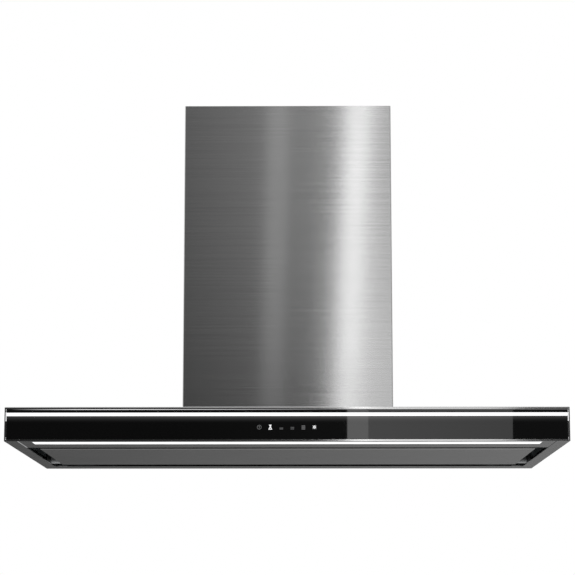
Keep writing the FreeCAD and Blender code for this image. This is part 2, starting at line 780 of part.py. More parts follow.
def blower_box():
    """Sheet box over the blower, open below, with a flange on the canopy top."""
    x = (-BOX_HALF, BOX_HALF)
    y = (-BOX_FRONT, -BOX_BACK)
    shell = block(x, y, (TOP, BOX_TOP))
    flange = block(shrunk(x, -BOX_FLANGE), (y[0] - BOX_FLANGE, y[1]), (TOP, TOP + BOX_SHEET))
    inside = block(shrunk(x, BOX_SHEET), shrunk(y, BOX_SHEET), (TOP - PAST, BOX_TOP - BOX_SHEET))
    shell = shell.fuse(flange).removeSplitter().cut(inside)
    outlet = block((-SCROLL_HALF, SCROLL_HALF), (OUTLET_FRONT, OUTLET_REAR),
                   (BOX_TOP - BOX_SHEET - PAST, BOX_TOP + PAST))
    gland_hole = bar(gland_centre() - UP * GLAND_TAIL, UP, GLAND_RADIUS + SEAT, 2 * GLAND_TAIL)
    return shell.cut(outlet).cut(gland_hole)


def mounting_backplate():
    """Wall plate behind the blower box with the four wall holes above it and a stiffening fold."""
    line = [V(-BOX_HALF, 0, TOP + PLATE_RISE), V(-BOX_HALF, 0, PLATE_HIGH),
            V(-BOX_HALF, -PLATE_FOLD, PLATE_HIGH)]
    plate = folded(line, -BOX_BACK, ACROSS * 2 * BOX_HALF)
    low = BOX_TOP + WALL_HOLE_RISE
    side = BOX_HALF - WALL_HOLE_INSET
    for x in (-side, side):
        for z in (low, low + WALL_HOLE_SPACING):
            plate = plate.cut(rod(V(x, -PLATE_FOLD, z), BACK, WALL_HOLE_RADIUS, 2 * PLATE_FOLD))
    return plate


def scroll_band():
    """Spiral wall of the blower with the outlet flange that hangs it under the box top."""
    x = (-SCROLL_HALF, SCROLL_HALF)
    inside = scroll_face(0)
    band = scroll_face(SCROLL_SHEET).cut(inside).extrude(ACROSS * 2 * SCROLL_HALF)
    band.translate(ACROSS * x[0])
    z = (OUTLET_TOP - 2 * SCROLL_SHEET, OUTLET_TOP)
    lugs = [block(x, (OUTLET_FRONT - OUTLET_FLANGE_FRONT, OUTLET_FRONT), z),
            block(x, (OUTLET_REAR, OUTLET_REAR + OUTLET_FLANGE_REAR), z)]
    throat = inside.extrude(ACROSS * 2 * SCROLL_HALF)
    throat.translate(ACROSS * x[0])
    return band.multiFuse(lugs).cut(throat).removeSplitter()


def scroll_side():
    """Right-hand side plate with an inlet mouth that reaches into the rotor's rim."""
    start = SCROLL_HALF + SEAT
    plate = scroll_face(SCROLL_SHEET).extrude(ACROSS * SCROLL_SHEET)
    plate.translate(ACROSS * start)
    base = AXIS + ACROSS * (start + SCROLL_SHEET - MOUTH_DEEP)
    mouth = bar(base, ACROSS, INLET_RADIUS + MOUTH_WALL, MOUTH_DEEP)
    return plate.fuse(mouth).cut(bar(base, ACROSS, INLET_RADIUS, MOUTH_DEEP)).removeSplitter()


def blade(angle):
    """Forward-curved blade: sheet bent in flats between the inner and outer radius."""
    turn = math.radians(angle)
    lean = math.radians(BLADE_LEAN)
    thick = BLADE_SHEET / ROTOR_INNER
    start = -ROTOR_HALF + ROTOR_RIM / 2

    def at(share, swing):
        radius = ROTOR_INNER + BLADE_INSET + (ROTOR_RADIUS - ROTOR_INNER - 2 * BLADE_INSET) * share
        there = turn + lean * share ** 2 + swing
        return V(start, AXIS_Y + radius * math.cos(there), AXIS_Z + radius * math.sin(there))

    shares = [step / BLADE_FLATS for step in range(BLADE_FLATS + 1)]
    outline = [at(share, 0) for share in shares] + [at(share, thick) for share in reversed(shares)]
    return prism(outline, ACROSS * -2 * start)


def impeller():
    """Double-inlet wheel: middle disc and hub, curved blades, a rim at each end."""
    disc = bar(AXIS - ACROSS * DISC_HALF, ACROSS, ROTOR_RADIUS, 2 * DISC_HALF, ROTOR_SIDES)
    hub = bar(AXIS - ACROSS * HUB_HALF, ACROSS, HUB_RADIUS, 2 * HUB_HALF)
    rims = [hoop(AXIS + ACROSS * start, ACROSS, ROTOR_RADIUS, ROTOR_INNER, ROTOR_RIM, ROTOR_SIDES)
            for start in (-ROTOR_HALF, ROTOR_HALF - ROTOR_RIM)]
    blades = [blade(360.0 * index / BLADE_COUNT) for index in range(BLADE_COUNT)]
    wheel = disc.multiFuse([hub] + rims + blades)
    return wheel.cut(bar(AXIS - ACROSS * ROTOR_HALF, ACROSS, SHAFT_RADIUS + SEAT, 2 * ROTOR_HALF))


def motor_shaft():
    start = -HUB_HALF - SHAFT_OUT
    return rod(AXIS + ACROSS * start, ACROSS, SHAFT_RADIUS, MOTOR_START + MOTOR_LONG + SHAFT_END - start)


def motor():
    """Round can with a stepped cap at each end and a bearing neck towards the rotor."""
    can = bar(AXIS + ACROSS * (MOTOR_START + MOTOR_STEP), ACROSS, MOTOR_RADIUS, MOTOR_LONG - 2 * MOTOR_STEP)
    caps = bar(AXIS + ACROSS * MOTOR_START, ACROSS, MOTOR_RADIUS - MOTOR_STEP, MOTOR_LONG)
    neck = bar(AXIS + ACROSS * (MOTOR_START - MOTOR_NECK_LONG), ACROSS, MOTOR_NECK,
               MOTOR_NECK_LONG + MOTOR_STEP)
    return can.multiFuse([caps, neck]).cut(rod(AXIS, ACROSS, SHAFT_RADIUS + RUNNING, BOX_HALF))


def arm_angles():
    return [90.0 + 360.0 * index / ARM_COUNT for index in range(ARM_COUNT)]


def motor_bracket():
    """Clamp ring round the motor with three arms out to the scroll side."""
    end = RING_START + RING_LONG
    inner = MOTOR_RADIUS + SEAT
    ring = hoop(AXIS + ACROSS * RING_START, ACROSS, inner + RING_WALL, inner, RING_LONG)
    arms = []
    for angle in arm_angles():
        arm = block((end - ARM_THICK, end), around(0, ARM_WIDTH), (inner + RING_WALL / 2, ARM_REACH))
        foot = block((RING_START, end), around(0, ARM_WIDTH), around(ARM_REACH, ARM_WIDTH))
        arm = arm.fuse(foot).removeSplitter()
        arm.rotate(V(0, 0, 0), ACROSS, angle - 90)
        arm.translate(AXIS)
        arms.append(arm)
    return ring.multiFuse(arms)


def motor_grommets():
    start = SCROLL_HALF + 2 * SEAT + SCROLL_SHEET
    places = [scroll_point(angle, ARM_REACH) + ACROSS * start for angle in arm_angles()]
    return Part.makeCompound([bar(place, ACROSS, GROMMET_RADIUS, RING_START - SEAT - start, SIDES // 2)
                              for place in places])


def inlet_guard():
    """Finger guard on the open inlet: flat rings joined by a cross."""
    start = -SCROLL_HALF - 2 * SEAT - SCROLL_SHEET - GUARD_SHEET
    x = (start, start + GUARD_SHEET)
    base = AXIS + ACROSS * start
    reach = INLET_RADIUS + GUARD_RIM[1]
    rim = hoop(base, ACROSS, reach, INLET_RADIUS + GUARD_RIM[0], GUARD_SHEET)
    middle = hoop(base, ACROSS, GUARD_INNER[1], GUARD_INNER[0], GUARD_SHEET)
    long = 2 * (INLET_RADIUS + GUARD_RIM[0] + PAST)
    arms = [block(x, around(AXIS_Y, long), around(AXIS_Z, GUARD_ARM)),
            block(x, around(AXIS_Y, GUARD_ARM), around(AXIS_Z, long))]
    return rim.multiFuse([middle] + arms).removeSplitter()


def capacitor():
    """Can in a moulded cradle on the side wall of the box, with two blade terminals."""
    x = -BOX_HALF + CAP_INSET
    y = -BOX_FRONT + CAP_BEHIND_FRONT
    z = TOP + CAP_RISE
    can = bar(V(x, y, z), BACK, CAP_RADIUS, CAP_LONG)
    cradle = block((-BOX_WALL, x), around(y + CAP_LONG / 2, CAP_LONG / 3), around(z, CAP_RADIUS))
    rear = y + CAP_LONG
    blades = [block(around(x + side * CAP_BLADE_PITCH / 2, CAP_BLADE[0]), (rear, rear + CAP_BLADE[1]),
                    around(z, CAP_BLADE[2])) for side in (-1, 1)]
    return can.multiFuse([cradle] + blades)


def terminal_block():
    """Row of screw terminals: a wire hole in the face and a screw well from below for each pole."""
    y = -BOX_FRONT + TERMINAL_BEHIND_FRONT
    z = TERMINAL_LOW
    face = BOX_WALL - TERMINAL_SIZE[0]
    body = block((face, BOX_WALL), (y, y + TERMINAL_SIZE[1]), (z, z + TERMINAL_SIZE[2]))
    step = TERMINAL_SIZE[1] / TERMINAL_POLES
    for index in range(TERMINAL_POLES):
        across = around(y + step * (index + 0.5), TERMINAL_HOLE)
        body = body.cut(block((face - PAST, face + TERMINAL_HOLE), across,
                              around(z + TERMINAL_SIZE[2] * 2 / 3, TERMINAL_HOLE)))
        body = body.cut(block(around(face + TERMINAL_SIZE[0] / 2, TERMINAL_HOLE), across,
                              (z - PAST, z + TERMINAL_SIZE[2] / 3)))
    return body


def gland_centre():
    return V(BOX_HALF - GLAND_INSET, -BOX_FRONT + GLAND_BEHIND_FRONT, BOX_TOP + SEAT)


def cable_gland():
    """Inlet for the supply cable in the box top: two hexagons above the sheet, a nut below."""
    centre = gland_centre()
    few = SIDES // 2
    body = bar(centre, UP, GLAND_HEX, GLAND_BODY / 2, 6)
    dome = bar(centre + UP * GLAND_BODY / 2, UP, GLAND_DOME, GLAND_BODY / 2, 6)
    tail = bar(centre - UP * GLAND_TAIL, UP, GLAND_RADIUS, GLAND_TAIL, few)
    bore = bar(centre - UP * GLAND_TAIL, UP, GLAND_BORE, GLAND_TAIL + GLAND_BODY, few)
    gland = body.multiFuse([dome, tail]).removeSplitter().cut(bore)
    low = centre - UP * (2 * SEAT + BOX_SHEET + GLAND_NUT)
    nut = bar(low, UP, GLAND_HEX, GLAND_NUT, 6).cut(bar(low, UP, GLAND_RADIUS + SEAT, GLAND_NUT, few))
    return Part.makeCompound([gland, nut])


def acoustic_pads():
    """Foam slabs glued inside the front and the right wall of the blower box."""
    front = -BOX_FRONT + BOX_SHEET + SEAT
    low = TOP + PAD_LOW
    pads = [block(shrunk((-BOX_HALF, BOX_HALF), PAD_SIDE), (front, front + PAD_THICK),
                  (low, BOX_TOP - PAD_HIGH)),
            block((BOX_WALL - PAD_THICK, BOX_WALL), (-BOX_FRONT + PAD_ENDS[0], -PAD_ENDS[1]),
                  (low, TERMINAL_LOW - PAD_BELOW_TERMINAL))]
    return Part.makeCompound(pads)


# Duct collar with damper


def outlet_corners(grow, z):
    """Corners of the blower outlet, starting at the left front one."""
    x = SCROLL_HALF + grow
    y0 = OUTLET_FRONT - grow
    y1 = OUTLET_REAR + grow
    return [V(-x, y0, z), V(x, y0, z), V(x, y1, z), V(-x, y1, z)]


def transition(grow, radius):
    """Square-to-round body: a flat triangle on each side, a fan of narrow ones round each corner."""
    low = outlet_corners(grow, BOX_TOP)
    base = outlet_corners(grow, BOX_TOP + COLLAR_NECK)
    count = 4 * CORNER_FLATS
    ring = []
    for step in range(count):
        turn = math.radians(180.0 + 360.0 * step / count)
        ring.append(V(radius * math.cos(turn), COLLAR_Y + radius * math.sin(turn), BOX_TOP + COLLAR_RISE))
    faces = [facet(*low), facet(*ring)]
    for side in range(4):
        after = (side + 1) % 4
        faces.append(facet(low[side], low[after], base[after], base[side]))
        first = side * CORNER_FLATS
        for step in range(first, first + CORNER_FLATS):
            faces.append(facet(base[side], ring[step], ring[(step + 1) % count]))
        faces.append(facet(base[side], base[after], ring[(first + CORNER_FLATS) % count]))
    return Part.makeSolid(Part.makeShell(faces))


def flap_axis(side):
    """Left end of a flap's hinge line; side 1 is the wall side."""
    return V(-COLLAR_RADIUS, COLLAR_Y + side * FLAP_OFFSET, FLAP_Z)


def duct_collar():
    """Square-to-round outlet with a flange on the box top, the duct's spigot and two flap stops."""
    ring_base = V(0, COLLAR_Y, BOX_TOP + COLLAR_RISE)
    spigot = rod(ring_base, UP, COLLAR_RADIUS, COLLAR_LONG)
    bore = bar(ring_base, UP, COLLAR_BORE, COLLAR_LONG, BORE_SIDES)
    wide = SCROLL_HALF + OUTLET_FLANGE_REAR
    flange = block((-wide, wide), (OUTLET_FRONT - OUTLET_FLANGE_FRONT, OUTLET_REAR + OUTLET_FLANGE_REAR),
                   (BOX_TOP, BOX_TOP + BOX_SHEET))
    body = transition(COLLAR_SHEET, COLLAR_RADIUS).multiFuse([spigot, flange])
    body = body.cut(transition(0, COLLAR_BORE)).cut(bore)
    stop_high = FLAP_Z - FLAP_SHEET / 2 - SEAT
    stops = [block(around(0, STOP_SIZE[0]), around(COLLAR_Y + side * (COLLAR_BORE - STOP_REACH), STOP_SIZE[1]),
                   (stop_high - STOP_SIZE[2], stop_high)) for side in (-1, 1)]
    body = body.multiFuse(stops)
    for side in (-1, 1):
        body = body.cut(rod(flap_axis(side), ACROSS, FLAP_PIN + SEAT, 2 * COLLAR_RADIUS))
    return body


def damper_flap(side):
    """Half-round flap with a barrel that turns on its pin; side 1 is the wall side."""
    radius = COLLAR_BORE - FLAP_GAP
    low = V(0, COLLAR_Y, FLAP_Z - FLAP_SHEET / 2)
    edge = COLLAR_Y + side * FLAP_OFFSET
    keep = sorted((edge, edge + side * 2 * radius))
    disc = bar(low, UP, radius, FLAP_SHEET, BORE_SIDES)
    disc = disc.common(block((-radius, radius), keep, (low.z - PAST, low.z + FLAP_SHEET + PAST)))
    half = radius - BARREL_END_GAP
    disc = disc.fuse(bar(V(-half, edge, FLAP_Z), ACROSS, FLAP_BARREL, 2 * half, SIDES // 2))
    return disc.cut(rod(flap_axis(side), ACROSS, FLAP_PIN + RUNNING, 2 * COLLAR_RADIUS)).removeSplitter()


def damper_pins():
    long = 2 * (COLLAR_RADIUS - SEAT)
    return Part.makeCompound([rod(flap_axis(side) + ACROSS * SEAT, ACROSS, FLAP_PIN, long)
                              for side in (-1, 1)])


# Flue


def flue_sleeve(inset, z):
    """Folded three-sided sleeve, open to the wall, with returns along its rear edges."""
    x = FLUE_WIDTH / 2 - inset
    y = (-FLUE_DEPTH + inset, -inset)
    middle = (z[0] + z[1]) / 2
    outer = filleted(block((-x, x), y, z), FLUE_CORNER,
                     lambda point: near(point.y, y[0]) and near(point.z, middle))
    inner = block(shrunk((-x, x), FLUE_SHEET), shrunk(y, FLUE_SHEET), z)
    gap = x - FLUE_RETURN
    slot = block((-gap, gap), (-inset - 2 * FLUE_SHEET, PAST), z)
    return outer.cut(inner).cut(slot)


def lower_flue():
    """Outer sleeve with a foot flange turned inwards on the canopy top."""
    sleeve = flue_sleeve(0, (TOP, FLUE_TOP))
    x = FLUE_WIDTH / 2 - FLUE_SHEET / 2
    front = -FLUE_DEPTH + FLUE_SHEET / 2
    wide = FLUE_FOOT + FLUE_SHEET / 2
    foot = block((-x, x), (front, -FLUE_FOOT_END), (TOP, TOP + FLUE_SHEET))
    foot = foot.cut(block(shrunk((-x, x), wide), (front + wide, 0), (TOP - PAST, TOP + FLUE_SHEET + PAST)))
    return sleeve.fuse(foot).removeSplitter()


def upper_flue():
    """Telescopic sleeve inside the lower one, with air slots near the top of both sides."""
    sleeve = flue_sleeve(FLUE_SHEET + FLUE_GAP, (TOP + FLUE_SHEET + SEAT, FLUE_TOP - UPPER_BELOW_TOP))
    for index in range(LOUVRE_COUNT):
        high = FLUE_TOP - LOUVRE_DROP - index * LOUVRE_PITCH
        sleeve = sleeve.cut(block((-FLUE_WIDTH, FLUE_WIDTH), around(-FLUE_DEPTH / 2, LOUVRE_LONG),
                                  (high - LOUVRE_TALL, high)))
    return sleeve


def flue_bracket():
    """Bracket on the backplate with two guide arms inside the upper sleeve."""
    rear = -BOX_BACK - SEAT
    low = PLATE_HIGH - HOOK_DROP - HOOK_TALL
    span = FLUE_WIDTH / 2 - 2 * FLUE_SHEET - FLUE_GAP - HOOK_GAP
    half = span - HOOK_EAR
    right = [V(half, rear, low), V(half, -HOOK_REACH, low), V(span, -HOOK_REACH, low)]
    line = [V(-point.x, point.y, point.z) for point in reversed(right)] + right
    return folded(line, HOOK_SHEET, UP * HOOK_TALL)


NODES = {
    "canopy_shell": canopy_shell,
    "front_glass": front_glass,
    "glass_clips": glass_clips,
    "front_light_guide": front_light_guide,
    "front_led_strip": front_led_strip,
    "front_light_holder": front_light_holder,
    "touch_light_guide": touch_light_guide,
    "touch_board": touch_board,
    "light_rail": light_rail,
    "lower_light_lens": lower_light_lens,
    "lower_led_channel": lower_led_channel,
    "lower_led_strip": lower_led_strip,
    "control_box_base": control_box_base,
    "control_box_lid": control_box_lid,
    "control_board": control_board,
    "led_driver": led_driver,
    "suction_panel": suction_panel,
    "panel_liner": panel_liner,
    "panel_strikes": panel_strikes,
    "panel_magnets": panel_magnets,
    "hinge_brackets": hinge_brackets,
    "hinge_pins": hinge_pins,
    "hinge_bushes": hinge_bushes,
    "filter_deck": filter_deck,
    "filter_ledges": filter_ledges,
    "filter_frame_right": filter_frame,
    "filter_frame_left": lambda: mirrored(filter_frame()),
    "filter_mesh_right": filter_mesh,
    "filter_mesh_left": lambda: mirrored(filter_mesh()),
    "filter_latch_right": filter_latch,
    "filter_latch_left": lambda: mirrored(filter_latch()),
    "blower_box": blower_box,
    "mounting_backplate": mounting_backplate,
    "scroll_band": scroll_band,
    "scroll_side_right": scroll_side,
    "scroll_side_left": lambda: mirrored(scroll_side()),
    "impeller": impeller,
    "motor_shaft": motor_shaft,
    "motor": motor,
    "motor_bracket": motor_bracket,
    "motor_grommets": motor_grommets,
    "inlet_guard": inlet_guard,
    "capacitor": capacitor,
    "terminal_block": terminal_block,
    "cable_gland": cable_gland,
    "acoustic_pads": acoustic_pads,
    "duct_collar": duct_collar,
    "damper_flap_front": lambda: damper_flap(-1),
    "damper_flap_rear": lambda: damper_flap(1),
    "damper_pins": damper_pins,
    "lower_flue": lower_flue,
    "upper_flue": upper_flue,
    "flue_bracket": flue_bracket,
}

os.makedirs("parts", exist_ok=True)
for name, make in NODES.items():
    make().exportStep("parts/" + name + ".step")
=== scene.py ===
import math

import bpy
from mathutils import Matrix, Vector


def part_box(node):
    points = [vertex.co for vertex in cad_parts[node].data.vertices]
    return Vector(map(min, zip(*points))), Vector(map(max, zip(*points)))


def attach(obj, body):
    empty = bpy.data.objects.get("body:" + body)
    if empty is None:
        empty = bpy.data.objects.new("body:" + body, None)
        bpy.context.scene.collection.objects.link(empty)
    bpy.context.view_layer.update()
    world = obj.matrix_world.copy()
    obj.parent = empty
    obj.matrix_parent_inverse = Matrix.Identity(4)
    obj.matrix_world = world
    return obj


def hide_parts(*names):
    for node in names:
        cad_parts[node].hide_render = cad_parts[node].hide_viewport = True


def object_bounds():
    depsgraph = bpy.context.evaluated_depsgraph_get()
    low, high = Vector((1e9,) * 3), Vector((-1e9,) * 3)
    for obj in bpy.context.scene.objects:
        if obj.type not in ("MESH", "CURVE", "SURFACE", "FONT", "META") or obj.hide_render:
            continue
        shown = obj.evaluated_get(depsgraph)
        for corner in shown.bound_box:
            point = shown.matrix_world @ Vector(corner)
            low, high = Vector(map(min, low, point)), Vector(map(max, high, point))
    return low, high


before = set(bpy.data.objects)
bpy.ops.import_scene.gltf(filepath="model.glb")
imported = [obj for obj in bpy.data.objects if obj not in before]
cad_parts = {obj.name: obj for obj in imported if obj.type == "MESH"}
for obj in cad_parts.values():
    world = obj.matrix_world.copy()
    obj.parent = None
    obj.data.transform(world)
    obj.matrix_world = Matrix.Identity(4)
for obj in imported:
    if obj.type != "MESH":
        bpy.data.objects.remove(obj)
CAD_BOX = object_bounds()
MM = 0.001

# Streaks of the brushed sheet, per metre across the brushing and along it
STREAKS = 650.0
RUNS = 4.0

# Sheets that the screw heads sit on, and the outlet flange's rows of screws from front to rear
BRACKET_SHEET = 1.5 * MM
FLANGE_SHEET = 1.0 * MM
OUTLET_ROWS = (-127 * MM, -70 * MM, -14 * MM)

bl_info = {
    "name": "Canopy range hood",
    "version": (1, 0, 0),
    "blender": (4, 5, 0),
    "location": "View3D > Sidebar > Hood",
    "description": "Dresses the solids of a wall-mounted canopy range hood",
    "category": "Object",
}


def linear(code):
    """The linear colour of a screen hex value, as shaders take it."""
    parts = [int(code[i:i + 2], 16) / 255 for i in (1, 3, 5)]
    bent = [p / 12.92 if p <= 0.04045 else ((p + 0.055) / 1.055) ** 2.4 for p in parts]
    return (*bent, 1.0)


class HoodFinish(bpy.types.PropertyGroup):
    """Colours and lamp strengths of the hood."""
    steel_dark: bpy.props.FloatVectorProperty(
        name="Steel, dark streaks", description="Darker streaks of the brushed stainless sheet",
        subtype="COLOR", size=4, min=0, max=1, default=linear("#b3b3b3"))
    steel_pale: bpy.props.FloatVectorProperty(
        name="Steel, pale streaks", description="Paler streaks of the brushed stainless sheet",
        subtype="COLOR", size=4, min=0, max=1, default=linear("#d5d5d5"))
    glass_tone: bpy.props.FloatVectorProperty(
        name="Glass print", description="Black ceramic print behind the front glass",
        subtype="COLOR", size=4, min=0, max=1, default=linear("#151515"))
    lamp_tone: bpy.props.FloatVectorProperty(
        name="Lamp colour", description="Colour of both light bars and of the lit signs",
        subtype="COLOR", size=4, min=0, max=1, default=linear("#fefeff"))
    lamp_strength: bpy.props.FloatProperty(
        name="Lower lamp", description="Brightness of the light bar in the underside",
        default=1.0, min=0)
    band_strength: bpy.props.FloatProperty(
        name="Front band", description="Brightness of the light bar behind the glass",
        default=1.1, min=0)


class HoodSigns(bpy.types.PropertyGroup):
    """Sizes of the six touch signs on the glass."""
    pitch: bpy.props.FloatProperty(
        name="Pitch", description="Distance between neighbouring signs",
        unit="LENGTH", default=17.55 * MM, min=0)
    level: bpy.props.FloatProperty(
        name="Level", description="Height of the signs' middle above the lower edge of the hood",
        unit="LENGTH", default=22.0 * MM, min=0)
    relief: bpy.props.FloatProperty(
        name="Relief", description="Thickness of the printed signs",
        unit="LENGTH", default=0.05 * MM, min=0)
    line: bpy.props.FloatProperty(
        name="Line", description="Width of the signs' drawn lines",
        unit="LENGTH", default=1.0 * MM, min=0)


class HoodPads(bpy.types.PropertyGroup):
    """Sizes of the foam pads in the blower box."""
    thick: bpy.props.FloatProperty(
        name="Thickness", description="Thickness of the foam", unit="LENGTH", default=12.0 * MM, min=0)
    cell: bpy.props.FloatProperty(
        name="Profile", description="Distance from a peak of the foam to the next hollow",
        unit="LENGTH", default=15.0 * MM, min=0)
    set_back: bpy.props.FloatProperty(
        name="Set back", description="How far the side pad starts behind the front pad's outer face",
        unit="LENGTH", default=25.7 * MM, min=0)
    cut_down: bpy.props.FloatProperty(
        name="Cut down", description="How much lower the side pad ends than the front pad",
        unit="LENGTH", default=55.0 * MM, min=0)


class HoodScrews(bpy.types.PropertyGroup):
    """Sizes of the pan-head screws."""
    head: bpy.props.FloatProperty(
        name="Head", description="Radius of a screw's head", unit="LENGTH", default=3.2 * MM, min=0)
    tall: bpy.props.FloatProperty(
        name="Height", description="Height of a screw's head", unit="LENGTH", default=2.2 * MM, min=0)
    bracket_half: bpy.props.FloatProperty(
        name="Bracket", description="Distance of the bracket's screws from the middle",
        unit="LENGTH", default=100.0 * MM, min=0)
    bracket_rise: bpy.props.FloatProperty(
        name="Bracket rows", description="Distance of the bracket's screws from its middle height",
        unit="LENGTH", default=10.0 * MM, min=0)
    outlet_half: bpy.props.FloatProperty(
        name="Outlet", description="Distance of the outlet flange's screws from the middle",
        unit="LENGTH", default=67.2 * MM, min=0)


class HoodStage(bpy.types.PropertyGroup):
    """Floor, lights and camera."""
    floor_drop: bpy.props.FloatProperty(
        name="Floor", description="Height at which the hood hangs above the floor",
        unit="LENGTH", default=1.65, min=0)
    floor_light: bpy.props.FloatProperty(
        name="Floor light", description="How much the floor is lifted towards white",
        default=0.4, min=0)
    surround: bpy.props.FloatProperty(
        name="Surround", description="Brightness of the room that the metal mirrors",
        default=0.15, min=0)
    soft_box: bpy.props.FloatProperty(
        name="Soft boxes", description="Brightness of the two soft boxes in the metal's mirror image",
        default=2.3, min=0)
    lens: bpy.props.FloatProperty(
        name="Lens", description="Focal length of the camera",
        unit="CAMERA", default=114.98, min=1)
    lens_shift: bpy.props.FloatProperty(
        name="Lens shift", description="Upward shift of the lens, as a share of the picture's width",
        default=0.1)
    camera_place: bpy.props.FloatVectorProperty(
        name="Camera", description="Place of the camera, its height counted from the hood's lower edge",
        subtype="TRANSLATION", unit="LENGTH", size=3, default=(0.0230, -3.4059, -0.2985))
    camera_rise: bpy.props.FloatProperty(
        name="Rise", description="How far the camera looks up", subtype="ANGLE", default=0.1546)
    camera_turn: bpy.props.FloatProperty(
        name="Turn", description="How far the camera looks to the left",
        subtype="ANGLE", default=0.00755)


def feed(tree, made, inputs):
    """Fills a node's inputs, each from a value or from another node's socket."""
    for name, value in inputs.items():
        if isinstance(value, bpy.types.NodeSocket):
            tree.links.new(value, made.inputs[name])
        else:
            made.inputs[name].default_value = value


def node(tree, kind, inputs=None, **settings):
    """Adds one node with its settings and links."""
    made = tree.nodes.new(kind)
    for name, value in settings.items():
        setattr(made, name, value)
    feed(tree, made, inputs or {})
    return made


def reach(material):
    """A material's tree, its shader and the coordinates of the object that wears it."""
    tree = material.node_tree
    place = node(tree, "ShaderNodeTexCoord").outputs["Object"]
    return tree, tree.nodes["Principled BSDF"], place


def start(name):
    """A new material, followed by what reach gives of it."""
    material = bpy.data.materials.new(name)
    material.use_nodes = True
    return material, *reach(material)


def dress(material, *names):
    """Puts a material on CAD nodes."""
    for name in names:
        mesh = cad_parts[name].data
        mesh.materials.clear()
        mesh.materials.append(material)


def brushed_stainless(name, finish, stretch, tangent, turn, gloss=0.105):
    # Stainless sheet 1.4301, belt brushed along its length: long fine streaks, and mirror images
    # that are drawn out across them. Real streaks are 0.1 mm apart, here about 1.5 mm to show.
    material, tree, shader, place = start(name)
    along = node(tree, "ShaderNodeMapping", {"Vector": place, "Scale": stretch})
    streak = node(tree, "ShaderNodeTexNoise", {
        "Vector": along.outputs["Vector"], "Scale": 1.0, "Detail": 3.0, "Roughness": 0.65})
    cloud = node(tree, "ShaderNodeTexNoise", {"Vector": place, "Scale": 7.0, "Detail": 2.0})
    tone = node(tree, "ShaderNodeMix", {
        0: streak.outputs["Fac"], 6: finish.steel_dark, 7: finish.steel_pale}, data_type="RGBA")
    grit = node(tree, "ShaderNodeMapRange", {
        "Value": streak.outputs["Fac"], "From Min": 0.3, "From Max": 0.7,
        "To Min": gloss, "To Max": gloss + 0.02})
    wiped = node(tree, "ShaderNodeMath", {0: cloud.outputs["Fac"], 1: 0.02, 2: grit.outputs["Result"]},
                 operation="MULTIPLY_ADD")
    relief = node(tree, "ShaderNodeBump", {
        "Height": streak.outputs["Fac"], "Strength": 0.02, "Distance": 0.0002})
    feed(tree, shader, {
        "Base Color": tone.outputs[2], "Metallic": 1.0, "Roughness": wiped.outputs["Value"],
        "Normal": relief.outputs["Normal"], "Anisotropic": 1.0, "Anisotropic Rotation": turn,
        "Tangent": node(tree, "ShaderNodeTangent", direction_type="RADIAL", axis=tangent).outputs[0]})
    return material


def black_glass(finish, top):
    # Toughened float glass, black ceramic print behind it with a clear slit for the light bar: deep
    # gloss, a painted white line of light where the bar shows, and a painted grey glow that fades below
    # the line.
    material, tree, shader, place = start("black_printed_glass_with_painted_light")
    axes = node(tree, "ShaderNodeSeparateXYZ", {"Vector": place}).outputs
    # The slit in the print sits a third of a millimetre lower than the light guide behind it
    guide_low, guide_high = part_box("front_light_guide")
    low, high = guide_low.z - 0.25 * MM, guide_high.z - 0.35 * MM
    over = node(tree, "ShaderNodeMath", {0: axes["Z"], 1: low}, operation="GREATER_THAN")
    under = node(tree, "ShaderNodeMath", {0: axes["Z"], 1: high}, operation="LESS_THAN")
    slit = node(tree, "ShaderNodeMath", {0: over.outputs[0], 1: under.outputs[0]}, operation="MULTIPLY")
    # Painted highlight along the polished top edge, for the light it passes on, from near its left end
    # to the middle
    side = node(tree, "ShaderNodeMath", {0: axes["X"]}, operation="ABSOLUTE")
    edge = node(tree, "ShaderNodeMath", {0: axes["Z"], 1: top - 0.8 * MM}, operation="GREATER_THAN")
    share = node(tree, "ShaderNodeMapRange", {
        "Value": axes["X"], "From Min": -0.44, "From Max": -0.34, "To Max": 0.95})
    stray = node(tree, "ShaderNodeMapRange", {
        "Value": axes["X"], "From Min": -0.25, "From Max": 0.05, "To Min": 1.0, "To Max": 0.15})
    part = node(tree, "ShaderNodeMath", {0: share.outputs["Result"], 1: stray.outputs["Result"]},
                operation="MULTIPLY")
    painted_edge_glint = node(tree, "ShaderNodeMath", {0: edge.outputs[0], 1: part.outputs[0]}, operation="MULTIPLY")
    lit = node(tree, "ShaderNodeMath", {0: slit.outputs[0], 1: painted_edge_glint.outputs[0]}, operation="MAXIMUM")
    # The painted glow reaches 12 mm down from the slit and is strongest in the middle of the glass
    fade = node(tree, "ShaderNodeMapRange", {
        "Value": axes["Z"], "From Min": low - 12 * MM, "From Max": low})
    curve = node(tree, "ShaderNodeMath", {0: fade.outputs["Result"], 1: 2.6}, operation="POWER")
    middle = node(tree, "ShaderNodeMapRange", {
        "Value": side.outputs[0], "From Min": 0.15, "From Max": 0.44, "To Min": 0.075, "To Max": 0.045})
    veil = node(tree, "ShaderNodeMath", {0: curve.outputs[0], 1: middle.outputs["Result"]},
                operation="MULTIPLY")
    painted_glow = node(tree, "ShaderNodeMath", {0: veil.outputs[0], 1: under.outputs[0]}, operation="MULTIPLY")
    # Painted light: the line and the edge highlight at the band's strength, plus the painted glow
    total = node(tree, "ShaderNodeMath", {
        0: lit.outputs[0], 1: finish.band_strength, 2: painted_glow.outputs[0]}, operation="MULTIPLY_ADD")
    haze = node(tree, "ShaderNodeTexNoise", {"Vector": place, "Scale": 14.0, "Detail": 4.0})
    gloss = node(tree, "ShaderNodeMapRange", {
        "Value": haze.outputs["Fac"], "From Min": 0.3, "From Max": 0.7,
        "To Min": 0.006, "To Max": 0.014})
    feed(tree, shader, {
        "Base Color": finish.glass_tone, "Roughness": gloss.outputs["Result"], "IOR": 1.52,
        "Emission Color": finish.lamp_tone, "Emission Strength": total.outputs[0]})
    return material


